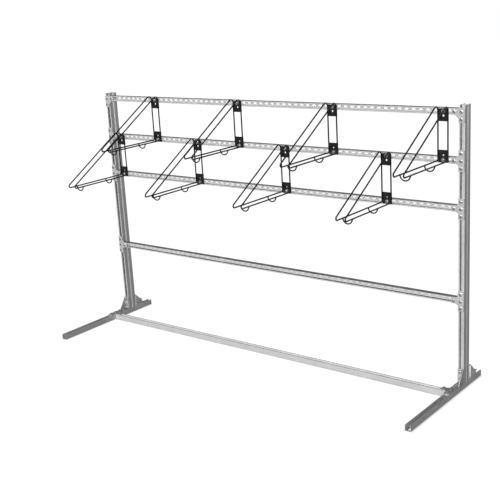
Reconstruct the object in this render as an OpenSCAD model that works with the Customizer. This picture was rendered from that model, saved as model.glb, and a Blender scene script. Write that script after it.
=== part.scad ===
// Free-standing vertical bike rack: a bolted strut frame that carries eight wire hooks.
// Millimetres. X runs along the rack, -Y is the side that the hooks reach out on, +Z is up.
// The origin is on the floor, in the middle of the feet's length and of the rack's length.

/* [Strut channel] */
// Outer width and depth of the channel
strut_w = 41.3; // [36:0.1:45]
// Wall of the channel
strut_t = 2.7; // [1.9:0.1:3.2]
// Open width between the two lips
opening_w = 22.3; // [20:0.1:24]
// How deep the lips turn in, from the open face
lip_turn = 7.2; // [6:0.1:9]
// Outer radius of the rolled corners
bend_r = 3.8; // [3.4:0.1:5]
// Length of a slot in the back of the channel
slot_len = 28.6; // [20:0.1:34]
// Width of a slot in the back of the channel
slot_w = 14.3; // [10:0.1:18]
// Distance from one slot to the next
slot_pitch = 50.8; // [45:0.1:60]

/* [Frame] */
// Length of the rails between the two uprights
rail_len = 3048; // [2600:1:3600]
// Height of the uprights, which stand on the feet
upright_h = 1828.8; // [1750:0.1:2200]
// From the top of the uprights down to the middle of the top rail
top_drop = 39.6; // [30:0.1:80]
// Step between the three hook rails
rail_step = 304.8; // [280:0.1:360]
// From the third rail down to the fourth
low_step = 609.6; // [400:0.1:700]
// How far the feet reach in front of the uprights
foot_front = 720.2; // [620:0.1:900]
// How far the feet reach behind the uprights
foot_back = 187.9; // [150:0.1:400]
// Gap between the front bracket's foot leaf and the floor plate
bar_gap = 1.55; // [0.5:0.05:250]

/* [Flat plates] */
// Thickness of the plates and brackets
plate_t = 6.35; // [4:0.05:8]
// Distance between the holes of a plate
hole_pitch = 47.6; // [44:0.1:54]
// From an end hole to the end of its plate
end_dist = 20.6; // [16:0.1:21]
// Leg of the slanted inner corner of a tee plate
tee_cut = 13; // [6:0.5:20]
// Leg of the slanted inner corner of a corner plate
corner_cut = 24; // [6:0.5:26]
// Radius of the plates' outer corners
plate_r = 3; // [1:0.1:6]

/* [Post brackets] */
// First hole of the upright leaf, above the foot
post_hole_z = 35; // [32:0.1:45]
// Length of the front bracket's foot leaf
front_leaf = 73; // [68:0.1:120]
// Hole of the front foot leaf, from the upright
front_hole = 50; // [46:0.1:52]
// Length of the rear bracket's foot leaf
rear_leaf = 112; // [100:0.1:130]
// First hole of the rear foot leaf, from the upright
rear_hole = 41; // [38:0.1:45]
// Height of the rear gusset's outer end above its leaf
rear_toe = 31; // [16:0.5:40]
// Length of that end, before the gusset starts to rise
rear_toe_len = 21; // [10:0.5:30]
// Width of the window between the rear gusset and its leaf
window_w = 17; // [8:0.5:20]
// Steel left above the window
window_top = 6; // [5:0.5:12]

/* [Hooks] */
// Number of hooks
hook_count = 8; // [2:1:8]
// From the rail's end to the middle of the first hook
hook_margin = 101.6; // [90:0.1:400]
// Diameter of the bent rods
rod_d = 10; // [8:0.1:12]
// Clear width between the two loops of a hook
tyre_slot = 58; // [45:0.5:70]
// From the rail's face to the middle of the tip bend
tip_reach = 560; // [500:1:600]
// Middle of the tip bend above the lower rail
tip_rise = 8.3; // [4:0.1:20]
// Bend radius of the tip and of the lower back corner
tip_r = 13; // [11:0.1:20]
// Bend radius of the peak
peak_r = 26; // [18:0.1:34]
// Middle of the peak bend above the upper rail
peak_rise = 2.8; // [0:0.1:12]
// How much thinner the saddle rods are than the bent rods
saddle_less = 1; // [0.5:0.1:3]
// Saddle nearer the rail, from the rail's face
saddle_near = 187; // [120:1:260]
// Saddle nearer the tip, from the rail's face
saddle_far = 493; // [380:1:520]
// Gap at the weld where the two ends of a rod meet
weld_gap = 0.4; // [0.2:0.1:1]
// Thickness of the hook plates
hook_plate_t = 5; // [3:0.1:7]
// Height of the hook plates
hook_plate_h = 79; // [70:0.5:90]
// From a hook plate's end to its bolt
hook_edge = 16; // [15:0.1:20]
// From the bolt to the spare hole
spare_pitch = 28; // [28:0.1:36]
// How far a hook plate reaches past the middle of each rod
plate_lap = 1; // [0:0.1:4]

/* [Fasteners] */
// Diameter of the bolts
bolt_d = 12.7; // [9.5:0.1:12.8]
// How much less a bolt head measures across its flats than its washer
head_less = 7.95; // [7.9:0.05:10]
// Height of the bolt heads
head_h = 8; // [6:0.1:9]
// Play of a bolt in a plate's hole, on the diameter
hole_play = 0.8; // [0.5:0.1:1.6]
// Gap between a washer and the gusset beside it
washer_gap = 0.8; // [0.3:0.1:2.3]
// Thickness of the washers
washer_t = 2.4; // [1.6:0.1:3]
// Length of a channel nut along its channel
nut_len = 20; // [18:0.1:26]
// Thickness of a channel nut
nut_t = 9.5; // [8:0.1:12]
// Play of a channel nut at each side wall
nut_play = 0.7; // [0.3:0.1:1.2]
// How deep the lips sit in the nut's grooves
nut_groove = 2; // [1:0.1:3]
// How far a bolt reaches past its nut
bolt_past = 5; // [2:0.1:8]

/* [Hidden] */
$fn = 48;
eps = 0.5;
thread_play = 0.2;
groove_play = 0.3;
inner_w = strut_w - 2 * strut_t;
inner_r = bend_r - strut_t;
lip_x = opening_w / 2;
hole_d = bolt_d + hole_play;
washer_d = strut_w - 2 * (plate_t + washer_gap);
head_af = washer_d - head_less;
foot_len = foot_front + 2 * strut_w + foot_back;
face_y = foot_front - foot_len / 2;
back_y = face_y + 2 * strut_w;
post_x = (rail_len + strut_w) / 2;
foot_top = strut_w;
plate_reach = hole_pitch + end_dist;
bar_y = face_y - front_leaf - bar_gap - plate_reach;
rail_1_z = foot_top + upright_h - top_drop;
rail_2_z = rail_1_z - rail_step;
rail_3_z = rail_2_z - rail_step;
rail_4_z = rail_3_z - low_step;
post_leaf_h = post_hole_z + hole_pitch + end_dist;
hook_pitch = (rail_len - 2 * hook_margin) / (hook_count - 1);
rod_x = (tyre_slot + rod_d) / 2;
saddle_d = rod_d - saddle_less;
back_s = hook_plate_t + rod_d / 2;
head_step = 23;
LEFT = -1;
RIGHT = 1;

// Hooks are counted from 1 at the left. Even ones hang high, on rails 1 and 2,
// and odd ones hang one step lower, on rails 2 and 3.
function hook_x(i) = (i - (hook_count + 1) / 2) * hook_pitch;
function hook_top_z(i) = i % 2 == 0 ? rail_1_z : rail_2_z;
function hook_low_z(i) = hook_top_z(i) - rail_step;

// Places of the bolts, each as [point, quarter turns of the channel nut].
// A nut lies across its channel, so on a rail or the floor bar it is turned once.
function tee_spots(side, z) = [
    [[side * post_x, z + hole_pitch], 0],
    [[side * post_x, z], 0],
    [[side * post_x, z - hole_pitch], 0],
    [[side * (post_x - hole_pitch), z], 1]
];
function corner_spots(side) = [
    [[side * post_x, rail_1_z], 0],
    [[side * post_x, rail_1_z - hole_pitch], 0],
    [[side * (post_x - hole_pitch), rail_1_z], 1]
];
frame_spots = [for (side = [LEFT, RIGHT]) each concat(
    corner_spots(side), tee_spots(side, rail_2_z), tee_spots(side, rail_3_z), tee_spots(side, rail_4_z)
)];
hook_spots = [for (i = [1:hook_count]) each [
    [[hook_x(i), hook_top_z(i)], 1], [[hook_x(i), hook_low_z(i)], 1]
]];
post_spots = [for (side = [LEFT, RIGHT], k = [0, 1])
    [[side * post_x, foot_top + post_hole_z + k * hole_pitch], 0]
];
foot_spots = [for (side = [LEFT, RIGHT]) each [
    [[side * post_x, face_y - front_hole], 0],
    [[side * post_x, back_y + rear_hole], 0],
    [[side * post_x, back_y + rear_hole + hole_pitch], 0],
    [[side * post_x, bar_y + hole_pitch], 0],
    [[side * post_x, bar_y], 0],
    [[side * post_x, bar_y - hole_pitch], 0],
    [[side * (post_x - hole_pitch), bar_y], 1]
]];

// A rectangle with rounded corners, its lower edge on y = 0 and centred on x
module round_rect(w, h, r) {
    translate([-w / 2 + r, 0]) square([w - 2 * r, h]);
    translate([-w / 2, r]) square([w, h - 2 * r]);
    for (x = [-w / 2 + r, w / 2 - r], y = [r, h - r]) translate([x, y]) circle(r);
}

// One lip on the +x side: it turns in from the open face at y = 0
module lip() {
    translate([lip_x, strut_t]) square([strut_t, lip_turn - strut_t]);
    intersection() {
        translate([lip_x + strut_t, strut_t]) circle(strut_t);
        translate([lip_x, 0]) square(strut_t);
    }
}

// Cross-section of the channel, open towards -y, with its back at y = strut_w
module channel_section() {
    difference() {
        round_rect(strut_w, strut_w, bend_r);
        translate([0, strut_t]) round_rect(inner_w, inner_w, inner_r);
        translate([-lip_x - strut_t, -eps]) square([opening_w + 2 * strut_t, strut_t + 2 * eps]);
    }
    lip();
    mirror([1, 0]) lip();
}

// A slot with round ends that runs along z and cuts the back of the channel
module back_slot() {
    straight = slot_len - slot_w;
    translate([0, strut_w + eps, 0]) rotate([90, 0, 0]) linear_extrude(strut_t + 2 * eps) {
        translate([-slot_w / 2, -straight / 2]) square([slot_w, straight]);
        for (y = [-straight / 2, straight / 2]) translate([0, y]) circle(slot_w / 2);
    }
}

// A length of channel along +z, with a row of slots in its back
module channel(len) {
    slots = floor((len - slot_len) / slot_pitch + 0.5);
    difference() {
        linear_extrude(len) channel_section();
        for (k = [0:slots - 1]) translate([0, 0, (k + 0.5) * slot_pitch]) back_slot();
    }
}

// An upright is two channels back to back
module upright_front(side) {
    color("lightgray") translate([side * post_x, face_y, foot_top]) channel(upright_h);
}

module upright_rear(side) {
    color("lightgray") translate([side * post_x, back_y, foot_top]) mirror([0, 1, 0]) channel(upright_h);
}

// Rails lie between the uprights with their open side to the front
module rail(z) {
    color("lightgray") translate([-rail_len / 2, face_y, z]) rotate([0, 90, 0]) channel(rail_len);
}

// Feet and the floor bar lie on their backs with their open side up
module foot(side) {
    color("gray") translate([side * post_x, -foot_len / 2, foot_top]) rotate([-90, 0, 0]) channel(foot_len);
}

module floor_bar() {
    color("lightgray") translate([-rail_len / 2, bar_y, foot_top]) rotate([0, 0, -90]) rotate([-90, 0, 0])
        channel(rail_len);
}

// A flat bar through the hole at the origin, from y = -down to y = up
module bar_2d(down, up) {
    translate([0, -down]) round_rect(strut_w, down + up, plate_r);
}

module slanted_corner(leg) {
    e = strut_w / 2 - eps;
    polygon([[e, e], [e + eps + leg, e], [e + eps + leg, e + eps], [e + eps, e + eps + leg], [e, e + eps + leg]]);
}

// Tee plate: three holes along y and a fourth on the arm towards +x
module tee_plate() {
    linear_extrude(plate_t) difference() {
        union() {
            bar_2d(plate_reach, plate_reach);
            rotate(-90) bar_2d(0, plate_reach);
            slanted_corner(tee_cut);
            rotate(-90) slanted_corner(tee_cut);
        }
        for (p = [[0, 0], [0, hole_pitch], [0, -hole_pitch], [hole_pitch, 0]]) translate(p) circle(d = hole_d);
    }
}

// Corner plate: one hole in the corner, one along -y and one on the arm towards +x
module corner_plate() {
    linear_extrude(plate_t) difference() {
        union() {
            bar_2d(plate_reach, strut_w / 2);
            rotate(-90) bar_2d(strut_w / 2, plate_reach);
            rotate(-90) slanted_corner(corner_cut);
        }
        for (p = [[0, 0], [0, -hole_pitch], [hole_pitch, 0]]) translate(p) circle(d = hole_d);
    }
}

// Lays a plate on the front of an upright at height z, its arm towards the rail
module on_upright(side, z) {
    color("silver") translate([side * post_x, face_y, z]) rotate([90, 0, 0]) mirror([side > 0 ? 1 : 0, 0, 0])
        children();
}

module floor_plate(side) {
    color("gray") translate([side * post_x, bar_y, foot_top]) mirror([side > 0 ? 1 : 0, 0, 0]) tee_plate();
}

// Post bracket in its own frame: the upright's face is the plane y = 0, the foot's top is z = 0,
// the foot leaf runs towards +y and the gusset stands on the +x side
module post_leaves(leaf, holes) {
    difference() {
        translate([0, plate_t, 0]) rotate([90, 0, 0]) linear_extrude(plate_t)
            round_rect(strut_w, post_leaf_h, plate_r);
        for (k = [0, 1]) translate([0, -eps, post_hole_z + k * hole_pitch]) rotate([-90, 0, 0])
            cylinder(h = plate_t + 2 * eps, d = hole_d);
    }
    difference() {
        linear_extrude(plate_t) round_rect(strut_w, leaf, plate_r);
        for (y = holes) translate([0, y, -eps]) cylinder(h = plate_t + 2 * eps, d = hole_d);
    }
    // Square lower edge, under the rounded corners of the upright leaf
    translate([-strut_w / 2, 0, 0]) cube([strut_w, plate_t, plate_t]);
}

module gusset(points) {
    translate([strut_w / 2 - plate_t, 0, 0]) rotate([90, 0, 90]) linear_extrude(plate_t) polygon(points);
}

module front_bracket() {
    color("silver") {
        post_leaves(front_leaf, [front_hole]);
        gusset([[0, 0], [front_leaf - plate_r, 0], [front_leaf - plate_r, plate_t], [plate_t, post_leaf_h - plate_r],
                [0, post_leaf_h - plate_r]]);
    }
}

// The rear gusset is level over its window, then slants down to its outer end
module rear_bracket() {
    top = post_leaf_h - plate_r;
    window_end = plate_t + window_w;
    color("gray") {
        post_leaves(rear_leaf, [rear_hole, rear_hole + hole_pitch]);
        difference() {
            gusset([[0, 0], [rear_leaf - plate_r, 0], [rear_leaf - plate_r, plate_t + rear_toe - plate_r],
                    [rear_leaf - rear_toe_len, plate_t + rear_toe], [window_end, top], [0, top]]);
            translate([strut_w / 2 - plate_t - eps, plate_t, plate_t])
                cube([plate_t + 2 * eps, window_w, top - window_top - plate_t]);
        }
    }
}

module front_post_bracket(side) {
    translate([side * post_x, face_y, foot_top]) mirror([0, 1, 0]) mirror([side > 0 ? 0 : 1, 0, 0]) front_bracket();
}

module rear_post_bracket(side) {
    translate([side * post_x, back_y, foot_top]) mirror([side > 0 ? 0 : 1, 0, 0]) rear_bracket();
}

// Fasteners in their own frame: the channel's open face is z = 0 and the head points to +z
module hex_bolt(grip, turn) {
    seat = grip + washer_t;
    tip = lip_turn - nut_groove + nut_t + bolt_past;
    translate([0, 0, seat]) rotate(turn) cylinder(h = head_h, d = head_af / cos(30), $fn = 6);
    translate([0, 0, -tip]) cylinder(h = tip + seat, d = bolt_d);
}

module washer(grip) {
    translate([0, 0, grip]) difference() {
        cylinder(h = washer_t, d = washer_d);
        translate([0, 0, -eps]) cylinder(h = washer_t + 2 * eps, d = hole_d);
    }
}

// The nut lies across its channel, along x, and the ends of the lips sit in its two grooves
module channel_nut() {
    w = inner_w - 2 * nut_play;
    top = nut_groove - lip_turn;
    difference() {
        translate([-w / 2, -nut_len / 2, top - nut_t]) cube([w, nut_len, nut_t]);
        for (s = [0, 1]) mirror([s, 0, 0]) translate([lip_x - groove_play, -nut_len / 2 - eps, top - nut_groove])
            cube([strut_t + 2 * groove_play, nut_len + 2 * eps, nut_groove + eps]);
        translate([0, 0, top - nut_t - eps]) cylinder(h = nut_t + 2 * eps, d = bolt_d + thread_play);
    }
}

// Places a fastener on the front of the frame at [x, z], or behind it, or on top at [x, y]
module at_front(spot) {
    translate([spot[0][0], face_y, spot[0][1]]) rotate([90, 0, 0]) rotate(spot[1] * 90) children();
}

module at_rear(spot) {
    translate([spot[0][0], back_y, spot[0][1]]) rotate([-90, 0, 0]) rotate(spot[1] * 90) children();
}

module at_top(spot) {
    translate([spot[0][0], spot[0][1], foot_top]) rotate(spot[1] * 90) children();
}

module frame_bolts() {
    color("whitesmoke") for (k = [0:len(frame_spots) - 1])
        at_front(frame_spots[k]) hex_bolt(plate_t, head_step * k);
}

module frame_washers() {
    color("whitesmoke") for (spot = frame_spots) at_front(spot) washer(plate_t);
}

module frame_nuts() {
    color("silver") for (spot = frame_spots) at_front(spot) channel_nut();
}

module base_bolts() {
    color("whitesmoke") {
        for (k = [0:len(post_spots) - 1]) {
            at_front(post_spots[k]) hex_bolt(plate_t, head_step * k);
            at_rear(post_spots[k]) hex_bolt(plate_t, head_step * (k + 2));
        }
        for (k = [0:len(foot_spots) - 1]) at_top(foot_spots[k]) hex_bolt(plate_t, head_step * k);
    }
}

module base_washers() {
    color("whitesmoke") {
        for (spot = post_spots) {
            at_front(spot) washer(plate_t);
            at_rear(spot) washer(plate_t);
        }
        for (spot = foot_spots) at_top(spot) washer(plate_t);
    }
}

module base_nuts() {
    color("silver") {
        for (spot = post_spots) {
            at_front(spot) channel_nut();
            at_rear(spot) channel_nut();
        }
        for (spot = foot_spots) at_top(spot) channel_nut();
    }
}

module hook_bolts() {
    color("whitesmoke") for (k = [0:len(hook_spots) - 1])
        at_front(hook_spots[k]) hex_bolt(hook_plate_t, head_step * k);
}

module hook_washers() {
    color("whitesmoke") for (spot = hook_spots) at_front(spot) washer(hook_plate_t);
}

module hook_nuts() {
    color("silver") for (spot = hook_spots) at_front(spot) channel_nut();
}

// A hook's side view is drawn in a plane: x is the distance forward from the rail's face,
// y is the height above the lower rail, and the wire's centre line lies in it.
module side_plane(i, x) {
    translate([hook_x(i) + x, face_y, hook_low_z(i)]) rotate([90, 0, -90]) children();
}

// A straight stretch of rod along +x, and what follows it
module straight(len) {
    rotate([0, 90, 0]) cylinder(h = len, d = rod_d);
    translate([len, 0, 0]) children();
}

// A bend that leaves along +x and turns towards -y, and what follows it
module bend(r, turn) {
    translate([0, -r, 0]) {
        rotate(90) rotate([180, 0, 0]) rotate_extrude(angle = turn) translate([r, 0]) circle(d = rod_d);
        rotate(-turn) translate([0, r, 0]) children();
    }
}

// One wire loop: back along the bottom, round the heel, up the back, over the peak and
// straight down to the tip, where its end meets its start
module wire_loop() {
    peak = [back_s + peak_r, rail_step + peak_rise];
    tip = [tip_reach, tip_rise];
    d = tip - peak;
    // Direction of the square to the slope, kept to a thousandth of a degree
    lean = round(1000 * (atan2(d[1], d[0]) + acos((peak_r - tip_r) / norm(d)))) / 1000;
    translate([tip_reach - weld_gap, tip_rise - tip_r, 0]) rotate(180)
        straight(tip_reach - weld_gap - back_s - tip_r)
        bend(tip_r, 90)
        straight(peak[1] - tip_rise)
        bend(peak_r, 180 - lean)
        straight(sqrt(d * d - pow(peak_r - tip_r, 2)))
        bend(tip_r, 90 + lean);
}

module hook_loops(i) {
    color("dimgray") for (x = [-rod_x, rod_x]) side_plane(i, x) wire_loop();
}

// A saddle is a half ring that hangs from the two lower arms
module hook_saddles(i) {
    color("dimgray") difference() {
        for (s = [saddle_near, saddle_far]) translate([hook_x(i), face_y - s, hook_low_z(i) + tip_rise - tip_r])
            rotate([90, 180, 0]) rotate_extrude(angle = 180) translate([rod_x, 0]) circle(d = saddle_d);
        for (x = [-rod_x, rod_x]) side_plane(i, x) translate([0, tip_rise - tip_r, 0]) straight(tip_reach);
    }
}

// A hook's plate, with its bolt at the origin and its spare hole below
module hook_plate() {
    w = 2 * (rod_x + plate_lap);
    rotate([90, 0, 0]) linear_extrude(hook_plate_t) difference() {
        translate([0, hook_edge - hook_plate_h]) round_rect(w, hook_plate_h, plate_r);
        circle(d = hole_d);
        translate([0, -spare_pitch]) circle(d = hole_d);
    }
}

module hook_plates(i) {
    color("black") {
        translate([hook_x(i), face_y, hook_top_z(i)]) hook_plate();
        translate([hook_x(i), face_y, hook_low_z(i)]) rotate([0, 180, 0]) hook_plate();
    }
}

foot(LEFT);  // foot_left
foot(RIGHT);  // foot_right
upright_front(LEFT);  // upright_left_front
upright_rear(LEFT);  // upright_left_rear
upright_front(RIGHT);  // upright_right_front
upright_rear(RIGHT);  // upright_right_rear
rail(rail_1_z);  // rail_1
rail(rail_2_z);  // rail_2
rail(rail_3_z);  // rail_3
rail(rail_4_z);  // rail_4
floor_bar();
on_upright(LEFT, rail_1_z) corner_plate();  // corner_plate_left
on_upright(RIGHT, rail_1_z) corner_plate();  // corner_plate_right
on_upright(LEFT, rail_2_z) tee_plate();  // tee_plate_left_2
on_upright(LEFT, rail_3_z) tee_plate();  // tee_plate_left_3
on_upright(LEFT, rail_4_z) tee_plate();  // tee_plate_left_4
on_upright(RIGHT, rail_2_z) tee_plate();  // tee_plate_right_2
on_upright(RIGHT, rail_3_z) tee_plate();  // tee_plate_right_3
on_upright(RIGHT, rail_4_z) tee_plate();  // tee_plate_right_4
floor_plate(LEFT);  // floor_plate_left
floor_plate(RIGHT);  // floor_plate_right
front_post_bracket(LEFT);  // post_bracket_left_front
front_post_bracket(RIGHT);  // post_bracket_right_front
rear_post_bracket(LEFT);  // post_bracket_left_rear
rear_post_bracket(RIGHT);  // post_bracket_right_rear
frame_bolts();
frame_washers();
frame_nuts();
base_bolts();
base_washers();
base_nuts();
hook_bolts();
hook_washers();
hook_nuts();
for (i = [1:hook_count]) {
    hook_loops(i);
    hook_saddles(i);
    hook_plates(i);
}
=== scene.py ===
"""Looks of the free-standing vertical bike rack: strut channel frame, plates, fasteners and wire hooks.

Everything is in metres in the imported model's own frame: X runs along the rack, -Y is the side that
the hooks reach out on, +Z is up and the floor is z = 0. Each piece replaces the node of the same
name and stays inside it, with rolled corners, punched slots, rounded edges, threads and welds added.
"""

import logging
import math
from collections.abc import Sequence
from dataclasses import dataclass
from enum import Enum
from functools import cached_property, reduce
from typing import Any

import bmesh
import bpy
from mathutils import Matrix, Vector
from mathutils.geometry import tessellate_polygon


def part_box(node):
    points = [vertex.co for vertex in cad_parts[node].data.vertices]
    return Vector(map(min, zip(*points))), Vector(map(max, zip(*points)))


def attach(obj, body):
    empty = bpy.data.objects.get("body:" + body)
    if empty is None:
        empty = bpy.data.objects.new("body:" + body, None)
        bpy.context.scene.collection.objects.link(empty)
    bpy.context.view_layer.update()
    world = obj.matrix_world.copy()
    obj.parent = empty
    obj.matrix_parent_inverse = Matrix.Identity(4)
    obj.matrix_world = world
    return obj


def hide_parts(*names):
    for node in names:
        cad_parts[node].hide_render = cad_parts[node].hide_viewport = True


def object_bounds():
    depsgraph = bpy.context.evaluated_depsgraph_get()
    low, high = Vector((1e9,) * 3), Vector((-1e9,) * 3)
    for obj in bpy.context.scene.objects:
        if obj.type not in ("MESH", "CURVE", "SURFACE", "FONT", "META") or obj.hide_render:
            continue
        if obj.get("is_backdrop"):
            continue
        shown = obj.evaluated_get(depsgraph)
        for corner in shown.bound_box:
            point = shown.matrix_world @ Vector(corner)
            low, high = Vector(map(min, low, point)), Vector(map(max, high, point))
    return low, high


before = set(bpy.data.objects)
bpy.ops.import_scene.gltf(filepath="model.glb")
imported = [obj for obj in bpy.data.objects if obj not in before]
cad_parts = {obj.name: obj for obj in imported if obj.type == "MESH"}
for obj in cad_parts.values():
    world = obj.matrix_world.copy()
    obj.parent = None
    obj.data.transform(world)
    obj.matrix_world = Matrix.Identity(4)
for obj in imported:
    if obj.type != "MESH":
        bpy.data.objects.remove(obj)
cad_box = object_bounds()

log = logging.getLogger("bike_rack")

MM = 0.001
BODY = "root"
SHARP_ANGLE = math.radians(40)
WELD_DISTANCE = 2e-6
# Radius of the ring that closes a pole
POLE = 1e-5
HOLE_SIDES = 28
CORNER_STEPS = 4
WHITE = (1, 1, 1, 1)
X_AXIS, Y_AXIS, Z_AXIS = Vector((1, 0, 0)), Vector((0, 1, 0)), Vector((0, 0, 1))
# Takes a plate drawn in (x, z) upright, with its thickness towards -y
STANDING = Matrix.Rotation(math.pi / 2, 4, "X")
# Takes a plate drawn in (y, z) sideways, with its thickness towards +x
SIDEWAYS = Matrix(((0, 0, 1, 0), (1, 0, 0, 0), (0, 1, 0, 0), (0, 0, 0, 1)))

Outline = list[Vector]
Colour = tuple[float, float, float]
Place = tuple[float, float, float]
Span = tuple[float, float]
Socket = bpy.types.NodeSocket


class Side(Enum):
    """The two ends of the rack, with the sign of their x."""

    LEFT = -1
    RIGHT = 1

    @property
    def word(self) -> str:
        """The side's name as the nodes spell it."""
        return self.name.lower()


class Face(Enum):
    """The face that a fastener is driven into, by the degrees about X that turn its head outwards."""

    FRONT = 90
    REAR = -90
    TOP = 0

    @property
    def turn(self) -> Matrix:
        """Rotation that takes a fastener from its own frame, with its head up, to this face."""
        return Matrix.Rotation(math.radians(self.value), 4, "X")


class Grain(Enum):
    """Direction of the rolling lines, as the scale of their pattern along each axis."""

    NONE = (1.0, 1.0, 1.0)
    ALONG_X = (0.02, 1.0, 1.0)
    ALONG_Y = (1.0, 0.02, 1.0)
    ALONG_Z = (1.0, 1.0, 0.02)


def arc(centre: Sequence[float], radius: float, start: float, end: float, steps: int) -> Outline:
    """Points of an arc in the plane.

    Args:
        centre: Middle of the arc.
        radius: Its radius.
        start: First angle in degrees.
        end: Last angle in degrees.
        steps: Number of chords.

    Returns:
        steps + 1 points, from start to end.
    """
    angles = [math.radians(start + (end - start) * k / steps) for k in range(steps + 1)]
    return [Vector((centre[0] + radius * math.cos(a), centre[1] + radius * math.sin(a))) for a in angles]


def full_turn(count: int) -> list[float]:
    """Angles of a full turn in even steps, in radians."""
    return [math.tau * k / count for k in range(count)]


def circle(radius: float, sides: int, centre: Sequence[float] = (0, 0)) -> Outline:
    """A circle in the plane, counter-clockwise."""
    return arc(centre, radius, 0, 360, sides)[:-1]


def bend(centre: Sequence[float], radius: float, start: float, end: float, steps: int,
         before: float, after: float) -> Outline:
    """An arc with a point on the straight run on either side of it, which keeps the runs' shading flat.

    Args:
        centre: Middle of the arc.
        radius: Its radius.
        start: First angle in degrees.
        end: Last angle in degrees.
        steps: Number of chords.
        before: How far the first point lies before the arc; with 0 it is left out.
        after: How far the last point lies behind the arc; with 0 it is left out.

    Returns:
        The points in order.
    """
    points = arc(centre, radius, start, end, steps)
    way = math.copysign(1, end - start)
    angles = (math.radians(start), math.radians(end))
    first, last = (Vector((-math.sin(a), math.cos(a))) * way for a in angles)
    lead = [points[0] - first * before] if before else []
    tail = [points[-1] + last * after] if after else []
    return lead + points + tail


def rounded(corners: Sequence[tuple[float, float, float]]) -> Outline:
    """An outline through corners, each (x, y, radius), counter-clockwise.

    Args:
        corners: The sharp corners and how far each is rounded.

    Returns:
        The outline with an arc at each corner.
    """
    outline = []
    for k, (x, y, radius) in enumerate(corners):
        p = Vector((x, y))
        a = (Vector(corners[k - 1][:2]) - p).normalized()
        b = (Vector(corners[(k + 1) % len(corners)][:2]) - p).normalized()
        if not radius:
            outline.append(p)
            continue
        half_angle = math.acos(max(-1.0, min(1.0, a.dot(b)))) / 2
        centre = p + (a + b).normalized() * (radius / math.sin(half_angle))
        from_a = p + a * (radius / math.tan(half_angle)) - centre
        from_b = p + b * (radius / math.tan(half_angle)) - centre
        start = math.degrees(math.atan2(from_a.y, from_a.x))
        sweep = math.degrees(math.atan2(from_a.x * from_b.y - from_a.y * from_b.x, from_a.dot(from_b)))
        outline += arc(centre, radius, start, start + sweep, CORNER_STEPS)
    return outline


def rectangle(low: Sequence[float], high: Sequence[float], radius: float,
              far_radius: float | None = None) -> Outline:
    """A rectangle with rounded corners, counter-clockwise.

    Args:
        low: The corner with the lowest x and y.
        high: The corner with the highest x and y.
        radius: Radius of the corners, or only of the two with the lowest y.
        far_radius: Radius of the two with the highest y, if it is another.

    Returns:
        The outline.
    """
    (x0, y0), (x1, y1) = low, high
    far = radius if far_radius is None else far_radius
    return rounded([(x0, y0, radius), (x1, y0, radius), (x1, y1, far), (x0, y1, far)])


def inset(points: Sequence[Vector], amount: float) -> Outline:
    """Moves a closed outline towards the side on its left, which is the steel's side.

    Args:
        points: The outline, counter-clockwise for an outer edge and clockwise for a hole.
        amount: How far each edge moves.

    Returns:
        The moved points, one for each given point.
    """
    moved = []
    for k, p in enumerate(points):
        before = (p - points[k - 1]).normalized()
        after = (points[(k + 1) % len(points)] - p).normalized()
        n1, n2 = Vector((-before.y, before.x)), Vector((-after.y, after.x))
        moved.append(p + (n1 + n2) * (amount / (1 + n1.dot(n2))))
    return moved


class Shell:
    """Gathers the faces of one piece and turns them into a clean mesh."""

    def __init__(self) -> None:
        """Starts with no faces."""
        self.points: list[Vector] = []
        self.faces: list[tuple[int, ...]] = []

    def add_ring(self, ring: Sequence[Vector]) -> range:
        """Adds points and returns their numbers."""
        self.points.extend(Vector(p) for p in ring)
        return range(len(self.points) - len(ring), len(self.points))

    def bridge(self, rings: Sequence[Sequence[Vector]], closed: bool = True) -> list[range]:
        """Joins rings of equal length, one after the other, by quads.

        Args:
            rings: The rings, each a list of points.
            closed: Whether each ring runs back to its first point.

        Returns:
            The point numbers of each ring.
        """
        numbers = [self.add_ring(ring) for ring in rings]
        for a, b in zip(numbers, numbers[1:]):
            for k in range(len(a) if closed else len(a) - 1):
                m = (k + 1) % len(a)
                self.faces.append((a[k], a[m], b[m], b[k]))
        return numbers

    def fill(self, loops: Sequence[Sequence[int]]) -> None:
        """Fills a flat area.

        Args:
            loops: Point numbers of its outline and of each hole.
        """
        flat = [n for loop in loops for n in loop]
        polygons = [[self.points[n] for n in loop] for loop in loops]
        self.faces.extend(tuple(flat[n] for n in face) for face in tessellate_polygon(polygons))

    def slab(self, loops: Sequence[Sequence[Vector]], thickness: float, edge: float, place: Matrix,
             steps: int = 3) -> None:
        """A plate of even thickness with rounded edges, on z = 0 before it is placed.

        Args:
            loops: Outer outline counter-clockwise, then the holes clockwise.
            thickness: The plate's thickness.
            edge: Radius of its edges.
            place: Where the plate goes.
            steps: Chords in each rounded edge.
        """
        turns = [math.pi / 2 * k / steps for k in range(steps + 1)]
        low = [(edge * (1 - math.sin(a)), edge * (1 - math.cos(a))) for a in turns]
        high = [(d, thickness - z) for d, z in reversed(low)]
        levels = [(2 * edge, 0.0), *low, *high, (2 * edge, thickness)]
        walls = []
        for loop in loops:
            rings = [[place @ Vector((*p, z)) for p in inset(loop, d)] for d, z in levels]
            walls.append(self.bridge(rings))
        self.fill([wall[0] for wall in walls])
        self.fill([wall[-1] for wall in walls])

    def lathe(self, profile: Sequence[Span], sides: int) -> None:
        """Turns a profile of (radius, height) round the z axis; a closed profile ends where it starts."""
        turns = full_turn(sides)
        self.bridge([[Vector((r * math.cos(a), r * math.sin(a), z)) for a in turns] for r, z in profile])

    def mesh(self, name: str, finish: bpy.types.Material) -> bpy.types.Mesh:
        """Merges doubles, turns faces outwards and shades them.

        Args:
            name: The mesh's name.
            finish: Its material.

        Returns:
            The finished mesh.
        """
        mesh = bpy.data.meshes.new(name)
        mesh.from_pydata([tuple(p) for p in self.points], [], self.faces)
        mesh.materials.append(finish)
        return tidy(mesh)


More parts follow.
